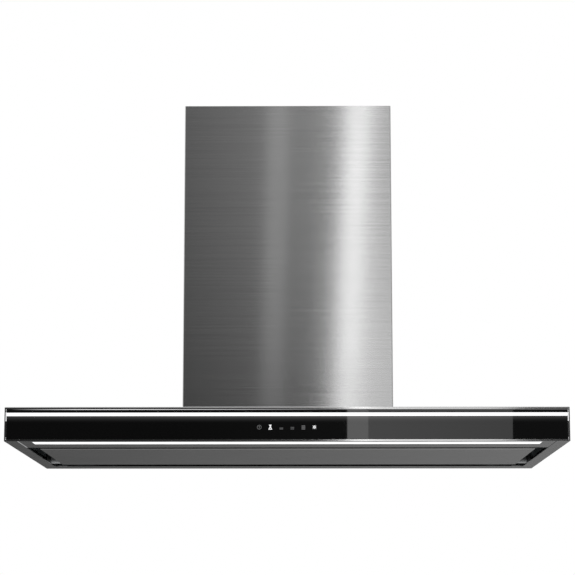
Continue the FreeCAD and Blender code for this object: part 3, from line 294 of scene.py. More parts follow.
def painted_light_leak(material, finish, low, high):
    # Painted light on the inner half of the border, for what the polished ends of the glass throw on it:
    # a painted solid streak beside the bar, and painted glints above it and in the lower corner.
    strip_inset, strip_half, skin, glint_pitch = 2.65 * MM, 0.75 * MM, 0.2 * MM, 2.4 * MM
    tree, shader, place = reach(material)
    axes = node(tree, "ShaderNodeSeparateXYZ", {"Vector": place}).outputs
    side = node(tree, "ShaderNodeMath", {0: axes["X"]}, operation="ABSOLUTE")
    strip = node(tree, "ShaderNodeMath", {0: side.outputs[0], 1: high.x - strip_inset, 2: strip_half},
                 operation="COMPARE")
    front = node(tree, "ShaderNodeMath", {0: axes["Y"], 1: low.y + skin}, operation="LESS_THAN")
    ends = node(tree, "ShaderNodeMath", {0: strip.outputs[0], 1: front.outputs[0]}, operation="MULTIPLY")
    # Each stretch is given by its middle and its half height
    streak, upper, lower = [
        node(tree, "ShaderNodeMath", {0: axes["Z"], 1: middle * MM, 2: half * MM}, operation="COMPARE")
        for middle, half in ((39, 7), (48.6, 2.6), (3.3, 2.3))]
    rows = node(tree, "ShaderNodeMath", {0: upper.outputs[0], 1: lower.outputs[0]}, operation="MAXIMUM")
    beat = node(tree, "ShaderNodeMath", {0: axes["Z"], 1: 2 * math.pi / glint_pitch},
                operation="MULTIPLY")
    bead = node(tree, "ShaderNodeMath", {0: beat.outputs[0]}, operation="SINE")
    painted_glint = node(tree, "ShaderNodeMath", {0: bead.outputs[0], 1: rows.outputs[0]}, operation="MULTIPLY")
    patch = node(tree, "ShaderNodeMath", {0: streak.outputs[0], 1: painted_glint.outputs[0]},
                 operation="MAXIMUM")
    total = node(tree, "ShaderNodeMath", {0: ends.outputs[0], 1: patch.outputs[0]}, operation="MULTIPLY")
    # Painted light: the streak and the glints are emission on the steel
    feed(tree, shader, {
        "Anisotropic": 0.2, "Emission Color": finish.lamp_tone, "Emission Strength": total.outputs[0]})


def sheet_twist(material, low, high):
    # The flue's sheet is twisted by a fifth of a degree towards its foot, which leads the bright stripe
    # a little to the left there.
    tree, shader, place = reach(material)
    axes = node(tree, "ShaderNodeSeparateXYZ", {"Vector": place}).outputs
    lean = node(tree, "ShaderNodeMapRange", {
        "Value": axes["Z"], "From Min": low, "From Max": high, "To Min": 0.0036, "To Max": 0.0})
    turn = node(tree, "ShaderNodeCombineXYZ", {"X": lean.outputs["Result"]})
    sheet = shader.inputs["Normal"].links[0].from_socket
    facing = node(tree, "ShaderNodeVectorMath", {0: sheet, 1: turn.outputs[0]}, operation="ADD")
    feed(tree, shader, {"Normal": facing.outputs[0]})


def painted_seam_light_and_shade(material, finish, half):
    # Narrow seams where the rail meets the side lips: painted light on the left one, for lamp light
    # showing through, and painted shade on the right one.
    tree, shader, place = reach(material)
    axes = node(tree, "ShaderNodeSeparateXYZ", {"Vector": place}).outputs
    left_seam, right_seam = 1.2 * MM, 1.4 * MM
    left = node(tree, "ShaderNodeMath", {0: axes["X"], 1: left_seam - half}, operation="LESS_THAN")
    right = node(tree, "ShaderNodeMath", {0: axes["X"], 1: half - right_seam}, operation="GREATER_THAN")
    # Painted light: a faint glow at the left seam
    painted_seam_glow = node(tree, "ShaderNodeMath", {0: left.outputs[0], 1: 0.4}, operation="MULTIPLY")
    # Painted shade: the sheet's colour turns dark grey at the right seam
    sheet = shader.inputs["Base Color"].links[0].from_socket
    tone = node(tree, "ShaderNodeMix", {0: right.outputs[0], 6: sheet, 7: linear("#303030")},
                data_type="RGBA")
    feed(tree, shader, {
        "Base Color": tone.outputs[2],
        "Emission Color": finish.lamp_tone, "Emission Strength": painted_seam_glow.outputs[0]})


def lit_acrylic(name, finish, strength, front):
    # Opal acrylic with light-emitting diodes 60 mm apart behind it: an even white that is a little
    # stronger over each diode and fades where the holder shades the front edge.
    material, tree, shader, place = start(name)
    axes = node(tree, "ShaderNodeSeparateXYZ", {"Vector": place}).outputs
    diode_pitch = 60 * MM
    beat = node(tree, "ShaderNodeMath", {0: axes["X"], 1: 2 * math.pi / diode_pitch},
                operation="MULTIPLY")
    wave = node(tree, "ShaderNodeMath", {0: beat.outputs[0]}, operation="COSINE")
    level = node(tree, "ShaderNodeMath", {0: wave.outputs[0], 1: 0.08 * strength, 2: strength},
                 operation="MULTIPLY_ADD")
    shade = node(tree, "ShaderNodeMapRange", {
        "Value": axes["Y"], "From Min": front + 5 * MM, "From Max": front + 10 * MM})
    total = node(tree, "ShaderNodeMath", {0: level.outputs[0], 1: shade.outputs["Result"]},
                 operation="MULTIPLY")
    feed(tree, shader, {
        "Base Color": linear("#c4c6c6"), "Roughness": 0.45, "IOR": 1.49,
        "Emission Color": finish.lamp_tone, "Emission Strength": total.outputs[0]})
    return material


def lit_print(name, finish, strength):
    # Translucent print lit from behind the glass: flat, with a faint unevenness of the ink.
    material, tree, shader, place = start(name)
    ink = node(tree, "ShaderNodeTexNoise", {"Vector": place, "Scale": 900.0, "Detail": 1.0})
    level = node(tree, "ShaderNodeMapRange", {
        "Value": ink.outputs["Fac"], "To Min": 0.85 * strength, "To Max": 1.15 * strength})
    feed(tree, shader, {
        "Base Color": linear("#202022"), "Roughness": 0.3,
        "Emission Color": finish.lamp_tone, "Emission Strength": level.outputs["Result"]})
    return material


def galvanised_steel():
    # Hot-dip galvanised sheet: zinc crystals 5 to 10 mm across, each its own grey and gloss.
    material, tree, shader, place = start("galvanised_steel_sheet")
    spangle = node(tree, "ShaderNodeTexVoronoi", {"Vector": place, "Scale": 130.0, "Randomness": 1.0})
    grey = node(tree, "ShaderNodeSeparateColor", {"Color": spangle.outputs["Color"]})
    tone = node(tree, "ShaderNodeMix", {
        0: grey.outputs[0], 6: linear("#8f9496"), 7: linear("#b9bec0")}, data_type="RGBA")
    gloss = node(tree, "ShaderNodeMapRange", {"Value": grey.outputs[1], "To Min": 0.32, "To Max": 0.5})
    feed(tree, shader, {
        "Base Color": tone.outputs[2], "Metallic": 1.0, "Roughness": gloss.outputs["Result"]})
    return material


def rolled_metal(name, dark, pale, gloss, stretch):
    # Rolled or drawn bare metal: soft lines along the rolling direction.
    material, tree, shader, place = start(name)
    along = node(tree, "ShaderNodeMapping", {"Vector": place, "Scale": stretch})
    lines = node(tree, "ShaderNodeTexNoise", {
        "Vector": along.outputs["Vector"], "Scale": 1.0, "Detail": 3.0})
    tone = node(tree, "ShaderNodeMix", {
        0: lines.outputs["Fac"], 6: linear(dark), 7: linear(pale)}, data_type="RGBA")
    rough = node(tree, "ShaderNodeMapRange", {
        "Value": lines.outputs["Fac"], "To Min": gloss - 0.06, "To Max": gloss + 0.06})
    feed(tree, shader, {
        "Base Color": tone.outputs[2], "Metallic": 1.0, "Roughness": rough.outputs["Result"]})
    return material


def grained_surface(name, dark, pale, gloss, grain, depth):
    # Moulded, coated or foamed surface with an even grain of the given size and depth in mm.
    material, tree, shader, place = start(name)
    fleck = node(tree, "ShaderNodeTexNoise", {"Vector": place, "Scale": 1 / (grain * MM), "Detail": 2.0})
    patch = node(tree, "ShaderNodeTexNoise", {"Vector": place, "Scale": 18.0, "Detail": 2.0})
    tone = node(tree, "ShaderNodeMix", {
        0: patch.outputs["Fac"], 6: linear(dark), 7: linear(pale)}, data_type="RGBA")
    relief = node(tree, "ShaderNodeBump", {
        "Height": fleck.outputs["Fac"], "Strength": 0.3, "Distance": depth * MM})
    rough = node(tree, "ShaderNodeMapRange", {
        "Value": fleck.outputs["Fac"], "To Min": gloss - 0.08, "To Max": gloss + 0.08})
    feed(tree, shader, {
        "Base Color": tone.outputs[2], "Roughness": rough.outputs["Result"], "IOR": 1.5,
        "Normal": relief.outputs["Normal"]})
    return material


def circuit_board():
    # Glass-fibre board under white solder mask with tinned lines 1.5 mm wide.
    material, tree, shader, place = start("circuit_board_white_mask")
    tracks = node(tree, "ShaderNodeTexBrick", {
        "Vector": place, "Scale": 60.0, "Mortar Size": 0.03, "Color1": linear("#e9ece8"),
        "Color2": linear("#dfe4dd"), "Mortar": linear("#8e9a84")})
    feed(tree, shader, {"Base Color": tracks.outputs["Color"], "Roughness": 0.4, "IOR": 1.5})
    return material


def expanded_mesh():
    # Layers of expanded aluminium: open diamonds about 6 mm wide, drawn as painted shade in the cells
    # between bright strands.
    material, tree, shader, place = start("expanded_aluminium_mesh_painted_shade")
    squeeze = node(tree, "ShaderNodeMapping", {"Vector": place, "Scale": (1.0, 1.7, 1.0)})
    cell = node(tree, "ShaderNodeTexVoronoi", {
        "Vector": squeeze.outputs["Vector"], "Scale": 165.0, "Randomness": 0.35},
        feature="DISTANCE_TO_EDGE")
    strand = node(tree, "ShaderNodeMapRange", {
        "Value": cell.outputs["Distance"], "From Min": 0.08, "From Max": 0.2,
        "To Min": 1.0, "To Max": 0.0})
    # Painted shade: the open cells get a dark, non-metallic colour for the shade seen through them
    tone = node(tree, "ShaderNodeMix", {
        0: strand.outputs["Result"], 6: linear("#26282a"), 7: linear("#b4b7ba")}, data_type="RGBA")
    relief = node(tree, "ShaderNodeBump", {
        "Height": strand.outputs["Result"], "Strength": 0.8, "Distance": 0.6 * MM})
    feed(tree, shader, {
        "Base Color": tone.outputs[2], "Metallic": strand.outputs["Result"], "Roughness": 0.38,
        "Normal": relief.outputs["Normal"]})
    return material


def object_mode():
    """Leaves edit mode with nothing selected."""
    if bpy.context.object and bpy.context.object.mode != "OBJECT":
        bpy.ops.object.mode_set(mode="OBJECT")
    bpy.ops.object.select_all(action="DESELECT")


def settle(name, material):
    """Puts the active object's place into its mesh, gives it its finish and sets it on the hood."""
    piece = bpy.context.object
    bpy.ops.object.transform_apply(location=True, rotation=True, scale=True)
    piece.name = name
    piece.data.name = name
    piece.data.materials.clear()
    piece.data.materials.append(material)
    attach(piece, "hood")
    piece.select_set(False)


class HOOD_OT_steel_sheets(bpy.types.Operator):
    """Brushed stainless canopy, rail, panel and flue"""
    bl_idname = "hood.steel_sheets"
    bl_label = "Steel sheets"

    def execute(self, context):
        finish = context.scene.hood_finish
        standing = {"stretch": (RUNS, RUNS, STREAKS), "tangent": "Z", "turn": 0.25}
        lying = {"stretch": (RUNS, STREAKS, RUNS), "tangent": "X", "turn": 0.0}

        flue = brushed_stainless("brushed_stainless_flue", finish, **standing)
        sheet_twist(flue, *(corner.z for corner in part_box("lower_flue")))
        dress(flue, "lower_flue", "upper_flue")
        level = brushed_stainless("brushed_stainless_level", finish, **lying)
        dress(level, "suction_panel")
        rail = brushed_stainless("brushed_stainless_rail_with_painted_seams", finish, **lying)
        painted_seam_light_and_shade(rail, finish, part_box("light_rail")[1].x)
        dress(rail, "light_rail")

        # The canopy's upright sides come first, then its level faces and the glossier front border
        dress(brushed_stainless("brushed_stainless_upright", finish, **standing), "canopy_shell")
        border = brushed_stainless("brushed_stainless_border_with_painted_light", finish, **standing, gloss=0.05)
        # The border wears painted light beside the ends of the glass
        painted_light_leak(border, finish, *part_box("canopy_shell"))
        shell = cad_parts["canopy_shell"].data
        shell.materials.append(level)
        shell.materials.append(border)
        facing = 0.7
        for face in shell.polygons:
            if abs(face.normal.z) > facing:
                face.material_index = 1
            else:
                face.material_index = 2 if face.normal.y < -facing else 0
        return {"FINISHED"}


class HOOD_OT_lights(bpy.types.Operator):
    """Front glass with its light band, the lower light bar and what lights them"""
    bl_idname = "hood.lights"
    bl_label = "Glass and lights"

    def execute(self, context):
        finish = context.scene.hood_finish
        dress(black_glass(finish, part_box("front_glass")[1].z), "front_glass")
        lamp = lit_acrylic("opal_acrylic_lower", finish, finish.lamp_strength,
                           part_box("lower_light_lens")[0].y)
        dress(lamp, "lower_light_lens")
        # The guides behind the glass are dimmer, and no holder shades them
        unshaded = CAD_BOX[0].y - 10 * MM
        guide = lit_acrylic("opal_acrylic_guides", finish, 0.6 * finish.lamp_strength, unshaded)
        dress(guide, "front_light_guide", "touch_light_guide")
        dress(circuit_board(), "front_led_strip", "lower_led_strip", "touch_board", "control_board")
        return {"FINISHED"}


class HOOD_OT_inner_works(bpy.types.Operator):
    """Filters, blower, duct and the small pieces inside"""
    bl_idname = "hood.inner_works"
    bl_label = "Inner works"

    def execute(self, context):
        dress(galvanised_steel(), "blower_box", "mounting_backplate", "scroll_band", "scroll_side_left",
              "scroll_side_right", "filter_deck", "filter_ledges", "panel_liner", "flue_bracket",
              "motor_bracket", "duct_collar", "front_light_holder", "panel_strikes")
        spring = rolled_metal(
            "spring_steel_strip", "#6f7273", "#8d9192", gloss=0.3, stretch=(40.0, 40.0, 600.0))
        dress(spring, "glass_clips", "hinge_pins", "damper_pins", "motor_shaft", "inlet_guard")
        mill = rolled_metal(
            "mill_finish_aluminium", "#a9acae", "#c6c8ca", gloss=0.36, stretch=(8.0, 500.0, 500.0))
        dress(mill, "filter_frame_left", "filter_frame_right", "lower_led_channel", "impeller",
              "damper_flap_front", "damper_flap_rear", "capacitor")
        dress(expanded_mesh(), "filter_mesh_left", "filter_mesh_right")
        coat = grained_surface(
            "black_powder_coat", "#17181a", "#1f2022", gloss=0.5, grain=0.8, depth=0.08)
        dress(coat, "motor")
        # Painted shade: the hinge brackets are made dark so that the side slot around them reads dark
        dark_bracket_metal = rolled_metal(
            "dark_bracket_metal_painted_shade", "#1b1c1e", "#2b2d2f", gloss=0.45, stretch=(60.0, 60.0, 60.0))
        dress(dark_bracket_metal, "hinge_brackets")
        dark = grained_surface(
            "black_moulded_plastic", "#131314", "#1b1b1d", gloss=0.48, grain=0.5, depth=0.05)
        dress(dark, "filter_latch_left", "filter_latch_right", "control_box_base", "control_box_lid",
              "panel_magnets", "cable_gland")
        white = grained_surface(
            "white_moulded_plastic", "#d9dad8", "#e6e7e5", gloss=0.42, grain=0.5, depth=0.05)
        dress(white, "led_driver", "terminal_block")
        grey = grained_surface(
            "grey_moulded_plastic", "#c2c4c5", "#d0d2d3", gloss=0.45, grain=0.5, depth=0.05)
        dress(grey, "hinge_bushes")
        rubber = grained_surface(
            "black_rubber", "#0f0f0f", "#181818", gloss=0.75, grain=0.6, depth=0.06)
        dress(rubber, "motor_grommets")
        return {"FINISHED"}


class HOOD_OT_foam_pads(bpy.types.Operator):
    """Two pads of profiled foam that quieten the blower box"""
    bl_idname = "hood.foam_pads"
    bl_label = "Foam pads"

    def execute(self, context):
        low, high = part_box("acoustic_pads")
        sizes = context.scene.hood_pads
        foam = grained_surface(
            "grey_acoustic_foam", "#3a3b3d", "#4a4b4e", gloss=0.95, grain=2.2, depth=0.9)
        front = self.pad(2 * abs(low.x), high.z - low.z, sizes,
                         (0, low.y + sizes.thick, (low.z + high.z) / 2), (-math.pi / 2, 0, 0))
        settle("foam_pad_front", foam)
        deep = high.y - low.y - sizes.set_back
        tall = high.z - low.z - sizes.cut_down
        side = self.pad(deep, tall, sizes, (high.x - sizes.thick, high.y - deep / 2, low.z + tall / 2),
                        (-math.pi / 2, 0, math.pi / 2))
        settle("foam_pad_side", foam)
        for piece in (front, side):
            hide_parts("acoustic_pads")
        return {"FINISHED"}

    def pad(self, wide, tall, sizes, place, turn):
        """A pad whose open face has the peaks and hollows of profiled foam."""
        object_mode()
        columns, rows = round(wide / sizes.cell), round(tall / sizes.cell)
        hollow, inner = 0.4 * sizes.thick, 0.49
        bpy.ops.mesh.primitive_grid_add(
            x_subdivisions=columns, y_subdivisions=rows, size=1, location=(0, 0, 0))
        piece = bpy.context.object
        piece.scale = (wide, tall, 1)
        bpy.ops.object.transform_apply(location=True, rotation=True, scale=True)
        hollows = [v.index for v in piece.data.vertices
                   if (round((v.co.x / wide + 0.5) * columns) + round((v.co.y / tall + 0.5) * rows)) % 2
                   and abs(v.co.x) < inner * wide and abs(v.co.y) < inner * tall]
        bpy.ops.object.mode_set(mode="EDIT")
        bpy.ops.mesh.select_all(action="SELECT")
        bpy.ops.mesh.extrude_region_move(TRANSFORM_OT_translate={"value": (0, 0, -sizes.thick)})
        bpy.ops.mesh.select_all(action="SELECT")
        bpy.ops.mesh.normals_make_consistent(inside=False)
        bpy.ops.mesh.select_all(action="DESELECT")
        bpy.ops.object.mode_set(mode="OBJECT")
        for index in hollows:
            piece.data.vertices[index].select = True
        bpy.ops.object.mode_set(mode="EDIT")
        bpy.ops.transform.translate(value=(0, 0, -hollow))
        bpy.ops.object.mode_set(mode="OBJECT")
        smooth = piece.modifiers.new("smooth", "SUBSURF")
        smooth.levels = smooth.render_levels = 2
        bpy.ops.object.modifier_apply(modifier=smooth.name)
        bpy.ops.object.shade_smooth()
        piece.location = place
        piece.rotation_euler = turn
        return piece


def disc(radius, corners, x, z, y):
    """An upright disc facing the front, as the active object in edit mode."""
    object_mode()
    bpy.ops.mesh.primitive_circle_add(
        vertices=corners, radius=radius, fill_type="NGON", location=(x, y, z),
        rotation=(math.pi / 2, 0, 0))
    bpy.ops.object.mode_set(mode="EDIT")
    bpy.ops.mesh.select_all(action="SELECT")


def raise_sign(relief):
    """Gives the open sign in edit mode its thickness towards the front."""
    bpy.ops.mesh.select_all(action="SELECT")
    bpy.ops.mesh.extrude_region_move(TRANSFORM_OT_translate={"value": (0, -relief, 0)})
    bpy.ops.mesh.select_all(action="SELECT")
    bpy.ops.mesh.normals_make_consistent(inside=False)
    bpy.ops.object.mode_set(mode="OBJECT")


def ring(radius, width, corners, x, z, y, relief):
    """A flat ring, left as the selected object."""
    disc(radius, corners, x, z, y)
    bpy.ops.mesh.inset(thickness=width)
    bpy.ops.mesh.delete(type="FACE")
    raise_sign(relief)
    return bpy.context.object


def tile(wide, tall, x, z, y, relief):
    """A flat bar with softened corners, left as the selected object."""
    object_mode()
    bpy.ops.mesh.primitive_plane_add(size=1, location=(x, y, z), rotation=(math.pi / 2, 0, 0))
    bpy.context.object.scale = (wide, tall, 1)
    bpy.ops.object.transform_apply(location=True, rotation=True, scale=True)
    bpy.ops.object.mode_set(mode="EDIT")
    bpy.ops.mesh.select_all(action="SELECT")
    bpy.ops.mesh.bevel(offset=0.2 * min(wide, tall), segments=3, affect="VERTICES")
    raise_sign(relief)
    return bpy.context.object


def joined(parts):
    """Makes several objects one, which stays active."""
    object_mode()
    for part in parts:
        part.select_set(True)
    bpy.context.view_layer.objects.active = parts[0]
    bpy.ops.object.join()


class HOOD_OT_touch_signs(bpy.types.Operator):
    """Six lit signs of the touch field: timer, power, three speeds and lamp"""
    bl_idname = "hood.touch_signs"
    bl_label = "Touch signs"

    def execute(self, context):
        finish = context.scene.hood_finish
        signs = context.scene.hood_signs
        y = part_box("front_glass")[0].y
        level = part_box("canopy_shell")[0].z + signs.level
        timer, power, *speeds, lamp = [(i - 2.5) * signs.pitch for i in range(6)]
        dim = lit_print("lit_print_dim", finish, 0.07)
        soft = lit_print("lit_print_soft", finish, 0.12)
        full = lit_print("lit_print_full", finish, 0.95)
        self.timer_sign(timer, level, y, signs)
        settle("sign_timer", soft)
        self.power_sign(power, level, y, signs.relief)
        settle("sign_power", full)
        for step, x, tone in zip((1, 2, 3), speeds, (dim, dim, soft)):
            self.speed_sign(step, x, level, y, signs.relief)
            settle(f"sign_speed_{step}", tone)
        self.lamp_sign(lamp, level, y, signs.relief)
        settle("sign_lamp", full)
        return {"FINISHED"}

    def timer_sign(self, x, level, y, signs):
        """A ring round an upright bar and a crossbar."""
        joined([ring(3.6 * MM, 0.8 * signs.line, 40, x, level + 0.2 * MM, y, signs.relief),
                tile(0.8 * MM, 3.0 * MM, x, level - 0.3 * MM, y, signs.relief),
                tile(2.6 * MM, 0.7 * MM, x, level + 1.6 * MM, y, signs.relief)])

    def speed_sign(self, step, x, level, y, relief):
        """Three columns of bars with a row for each step of speed; a single row has taller bars."""
        wide, column_pitch, row_pitch = 1.6 * MM, 1.95 * MM, 2.4 * MM
        tall, rise = (3.4 * MM, 1.7 * MM) if step == 1 else (1.9 * MM, 1.0 * MM)
        first = level - 3.7 * MM + rise
        joined([tile(wide, tall, x + column * column_pitch, first + row * row_pitch, y, relief)
                for row in range(step) for column in (-1, 0, 1)])

    def lamp_sign(self, x, level, y, relief):
        """A square ring that stands on its corner, with four small rays."""
        middle, ray, ray_out = level + 0.3 * MM, 0.8 * MM, 3.0 * MM
        marks = [ring(2.8 * MM, 1.3 * MM, 4, x, middle, y, relief)]
        for turn in range(4):
            angle = (turn + 0.5) * math.pi / 2
            marks.append(tile(ray, ray, x + ray_out * math.cos(angle),
                              middle + ray_out * math.sin(angle), y, relief))
        joined(marks)

    def power_sign(self, x, level, y, relief):
        """Hourglass-like figure: a wide foot, a neck, a flared head, and a hole in the foot."""
        outline = [(-3.1, -3.7), (3.1, -3.7), (0.8, 1.3), (2.3, 4.1), (-2.3, 4.1), (-0.8, 1.3)]
        disc(1.0 * MM, 6, x, level, y)
        bpy.ops.mesh.delete(type="ONLY_FACE")
        bpy.ops.object.mode_set(mode="OBJECT")
        figure = bpy.context.object
        bpy.ops.object.transform_apply(location=True, rotation=True, scale=True)
        for corner, (dx, dz) in zip(figure.data.vertices, outline):
            corner.co = Vector((x + dx * MM, y, level + dz * MM))
        bpy.ops.mesh.primitive_circle_add(
            vertices=12, radius=0.9 * MM, fill_type="NOTHING", location=(x, y, level - 1.7 * MM),
            rotation=(math.pi / 2, 0, 0))
        bpy.ops.object.transform_apply(location=True, rotation=True, scale=True)
        joined([figure, bpy.context.object])
        bpy.ops.object.mode_set(mode="EDIT")
        bpy.ops.mesh.select_all(action="SELECT")
        bpy.ops.mesh.fill()
        raise_sign(relief)


class HOOD_OT_screws(bpy.types.Operator):
    """Pan-head screws of the flue bracket and of the outlet flange"""
    bl_idname = "hood.screws"
    bl_label = "Screws"

    def execute(self, context):
        sizes = context.scene.hood_screws
        zinc = rolled_metal(
            "zinc_plated_screw_steel", "#9a9da0", "#c2c5c8", gloss=0.3, stretch=(900.0, 900.0, 900.0))
        low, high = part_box("flue_bracket")
        middle, face = (low.z + high.z) / 2, high.y - BRACKET_SHEET
        self.group([(side * sizes.bracket_half, face, middle + row * sizes.bracket_rise)
                    for side in (-1, 1) for row in (-1, 1)], (math.pi / 2, 0, 0), sizes)
        settle("bracket_screws", zinc)
        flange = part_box("duct_collar")[0].z + FLANGE_SHEET
        self.group([(side * sizes.outlet_half, y, flange)
                    for side in (-1, 1) for y in OUTLET_ROWS], (0, 0, 0), sizes)
        settle("outlet_screws", zinc)
        return {"FINISHED"}

    def group(self, seats, turn, sizes):
        """Equal screws at several seats, joined to one active object."""
        first = self.screw(sizes)
        made = []
        for seat in seats:
            object_mode()
            first.select_set(True)
            bpy.context.view_layer.objects.active = first
            bpy.ops.object.duplicate(linked=False)
            copy = bpy.context.object
            copy.location = seat
            copy.rotation_euler = turn
            bpy.ops.object.transform_apply(location=True, rotation=True, scale=True)
            made.append(copy)
        object_mode()
        first.select_set(True)
        bpy.ops.object.delete()
        joined(made)

    def screw(self, sizes):
        """A domed head with a round socket, upright with its seat at the origin."""
        dome, socket_rim, socket_depth = 0.45 * sizes.tall, 0.35 * sizes.head, 0.5 * sizes.tall
        object_mode()
        bpy.ops.mesh.primitive_cylinder_add(
            vertices=24, radius=sizes.head, depth=sizes.tall, location=(0, 0, sizes.tall / 2))
        screw = bpy.context.object
        bpy.ops.object.transform_apply(location=True, rotation=True, scale=True)
        for edge in screw.data.edges:
            edge.select = all(screw.data.vertices[i].co.z > 0.9 * sizes.tall for i in edge.vertices)
        for face in screw.data.polygons:
            face.select = face.normal.z > 0.9
        bpy.ops.object.mode_set(mode="EDIT")
        bpy.ops.mesh.bevel(offset=dome, segments=4, affect="EDGES")
        bpy.ops.object.mode_set(mode="OBJECT")
        for face in screw.data.polygons:
            face.select = face.normal.z > 0.999
        bpy.ops.object.mode_set(mode="EDIT")
        bpy.ops.mesh.select_mode(type="FACE")
        bpy.ops.mesh.inset(thickness=socket_rim)
        bpy.ops.mesh.extrude_region_move(TRANSFORM_OT_translate={"value": (0, 0, -socket_depth)})
        bpy.ops.object.mode_set(mode="OBJECT")
        bpy.ops.object.shade_smooth_by_angle(angle=math.radians(35))
        return screw


class HOOD_OT_stage(bpy.types.Operator):
    """Floor, surround, lights and camera"""
    bl_idname = "hood.stage"
    bl_label = "Stage"

    def execute(self, context):
        stage = context.scene.hood_stage
        context.scene.view_settings.view_transform = "Standard"
        self.floor(stage)
        self.surround(context.scene, stage)
        base = Vector((0, 0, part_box("canopy_shell")[0].z))
        for name, place, size, brightness, aim in (
                ("card_middle", (-0.06, -3.65, 1.6), (0.075, 2.24), 0.2, (-0.06, 0, 1.6)),
                ("top_box", (0, -0.6, 2.6), (2.6, 1.8), 0.9, (0, -0.25, 0)),
                ("left_box", (-2.6, -0.8, 0.9), (1.6, 1.8), 0.35, (0, -0.25, 0.2)),
                ("right_box", (2.6, -0.8, 0.9), (1.6, 1.8), 0.5, (0, -0.25, 0.2)),
                ("rear_box", (0.6, 2.8, 1.1), (2.4, 1.6), 1.3, (0, -0.1, 0.3))):
            self.card(name, base + Vector(place), size, brightness, base + Vector(aim))
        self.camera(context.scene, stage, base)
        return {"FINISHED"}

    def floor(self, stage):
        """A pale matt floor that is clear from below."""
        side = 14.0
        object_mode()
        bpy.ops.mesh.primitive_plane_add(size=side, location=(0, 0, -stage.floor_drop))
        floor = bpy.context.object
        floor.name = "studio_floor"
        # Matt painted floor, almost white, with a barely visible cloudiness
        material, tree, shader, place = start("matt_floor_paint")
        cloud = node(tree, "ShaderNodeTexNoise", {"Vector": place, "Scale": 1.5, "Detail": 3.0})
        tone = node(tree, "ShaderNodeMix", {
            0: cloud.outputs["Fac"], 6: linear("#dcdcdb"), 7: linear("#e6e6e5")}, data_type="RGBA")
        feed(tree, shader, {
            "Base Color": tone.outputs[2], "Roughness": 0.85,
            "Emission Color": tone.outputs[2], "Emission Strength": stage.floor_light})
        # Clear from below, so that the underside of the hood stays in view
        under = node(tree, "ShaderNodeNewGeometry").outputs["Backfacing"]
        clear = node(tree, "ShaderNodeBsdfTransparent")
        both = node(tree, "ShaderNodeMixShader", {0: under, 1: shader.outputs[0], 2: clear.outputs[0]})
        feed(tree, tree.nodes["Material Output"], {"Surface": both.outputs[0]})
        floor.data.materials.append(material)
        # The metal mirrors the surround below it and not the floor, whose own light reaches only the eye
        floor.visible_glossy = False
        floor.visible_diffuse = False

    def surround(self, scene, stage):
        """White to the eye. The metal mirrors a dim room in front with two upright soft boxes to the
        right of the camera, and a paler room behind and below."""
        world = bpy.data.worlds.new("studio_surround")
        world.use_nodes = True
        scene.world = world
        tree = world.node_tree
        tree.nodes.clear()
        heading = node(tree, "ShaderNodeTexCoord").outputs["Generated"]
        axes = node(tree, "ShaderNodeSeparateXYZ", {"Vector": heading}).outputs
        # Each ramp has an axis of the heading, where it starts and ends there, and its level at both
        room, box = stage.surround, stage.soft_box
        ramps = {
            "horizon": ("Z", 0.112, 0.14, 0.25 * room, 1.05 * room),
            "rise": ("Z", 0.15, 0.4, 1.0, 1.7),
            "left": ("X", -0.07, 0.005, 0.75, 1.6),
            "slim_tone": ("Z", 0.1, 0.4, box, 0.8 * box),
            "broad_tone": ("Z", 0.11, 0.22, box, 0.2 * box),
            "broad_fade": ("X", 0.0364, 0.1142, 0.57, 0.45),
            "front_foot": ("Z", 0.02, 0.09, 0.0, 1.0),
            "rear_tone": ("X", -0.14, 0.14, 0.54 * room, 1.06 * room),
            "below": ("Z", -0.17, -0.4, 1.0, 3.6),
            "left_wall": ("X", -0.22, -0.6, 0.0, 0.72),
            "right_wall": ("X", 0.22, 0.6, 0.0, 0.42),
            "ceiling": ("Z", 0.45, 0.85, 0.0, 0.75),
            "rear_wall": ("Z", 0.0, 0.3, 0.0, 0.6),
        }
        level = {}
        for name, (axis, near, far, low, high) in ramps.items():
            ramp = node(tree, "ShaderNodeMapRange", {
                "Value": axes[axis], "From Min": near, "From Max": far, "To Min": low, "To Max": high})
            level[name] = ramp.outputs["Result"]
        # A soft box is given by its middle and its half width; it counts where its mask is 1
        for name, middle, half in (("slim", 0.0307, 0.0057), ("broad", 0.0753, 0.0389)):
            mask = node(tree, "ShaderNodeMath", {0: axes["X"], 1: middle, 2: half}, operation="COMPARE")
            level[name] = mask.outputs[0]
        # What is behind starts further forward the more the heading points down
        down = node(tree, "ShaderNodeMath", {0: axes["Z"], 1: 0.0}, operation="MINIMUM")
        slope = node(tree, "ShaderNodeMath", {0: down.outputs[0], 1: 0.9}, operation="MULTIPLY")
        level["behind"] = node(tree, "ShaderNodeMath", {0: axes["Y"], 1: slope.outputs[0]},
                               operation="GREATER_THAN").outputs[0]
        # Each of these levels is worked out from the ones above it
        for name, operation, *terms in (
                ("tall", "MULTIPLY", "horizon", "rise"),
                ("room", "MULTIPLY", "tall", "left"),
                ("broad_part", "MULTIPLY", "broad_tone", "broad_fade"),
                ("with_slim", "MULTIPLY_ADD", "slim", "slim_tone", "room"),
                ("with_both", "MULTIPLY_ADD", "broad", "broad_part", "with_slim"),
                ("front", "MULTIPLY", "with_both", "front_foot"),
                ("rear", "MULTIPLY", "rear_tone", "below"),
                ("rear_part", "MULTIPLY", "rear_wall", "behind"),
                ("sides", "MAXIMUM", "left_wall", "right_wall"),
                ("sides_and_ceiling", "MAXIMUM", "sides", "ceiling"),
                ("walls", "MAXIMUM", "sides_and_ceiling", "rear_part")):
            inputs = {i: level[term] for i, term in enumerate(terms)}
            level[name] = node(tree, "ShaderNodeMath", inputs, operation=operation).outputs[0]
        mirrored = node(tree, "ShaderNodeMix", {0: level["behind"], 2: level["front"], 3: level["rear"]})
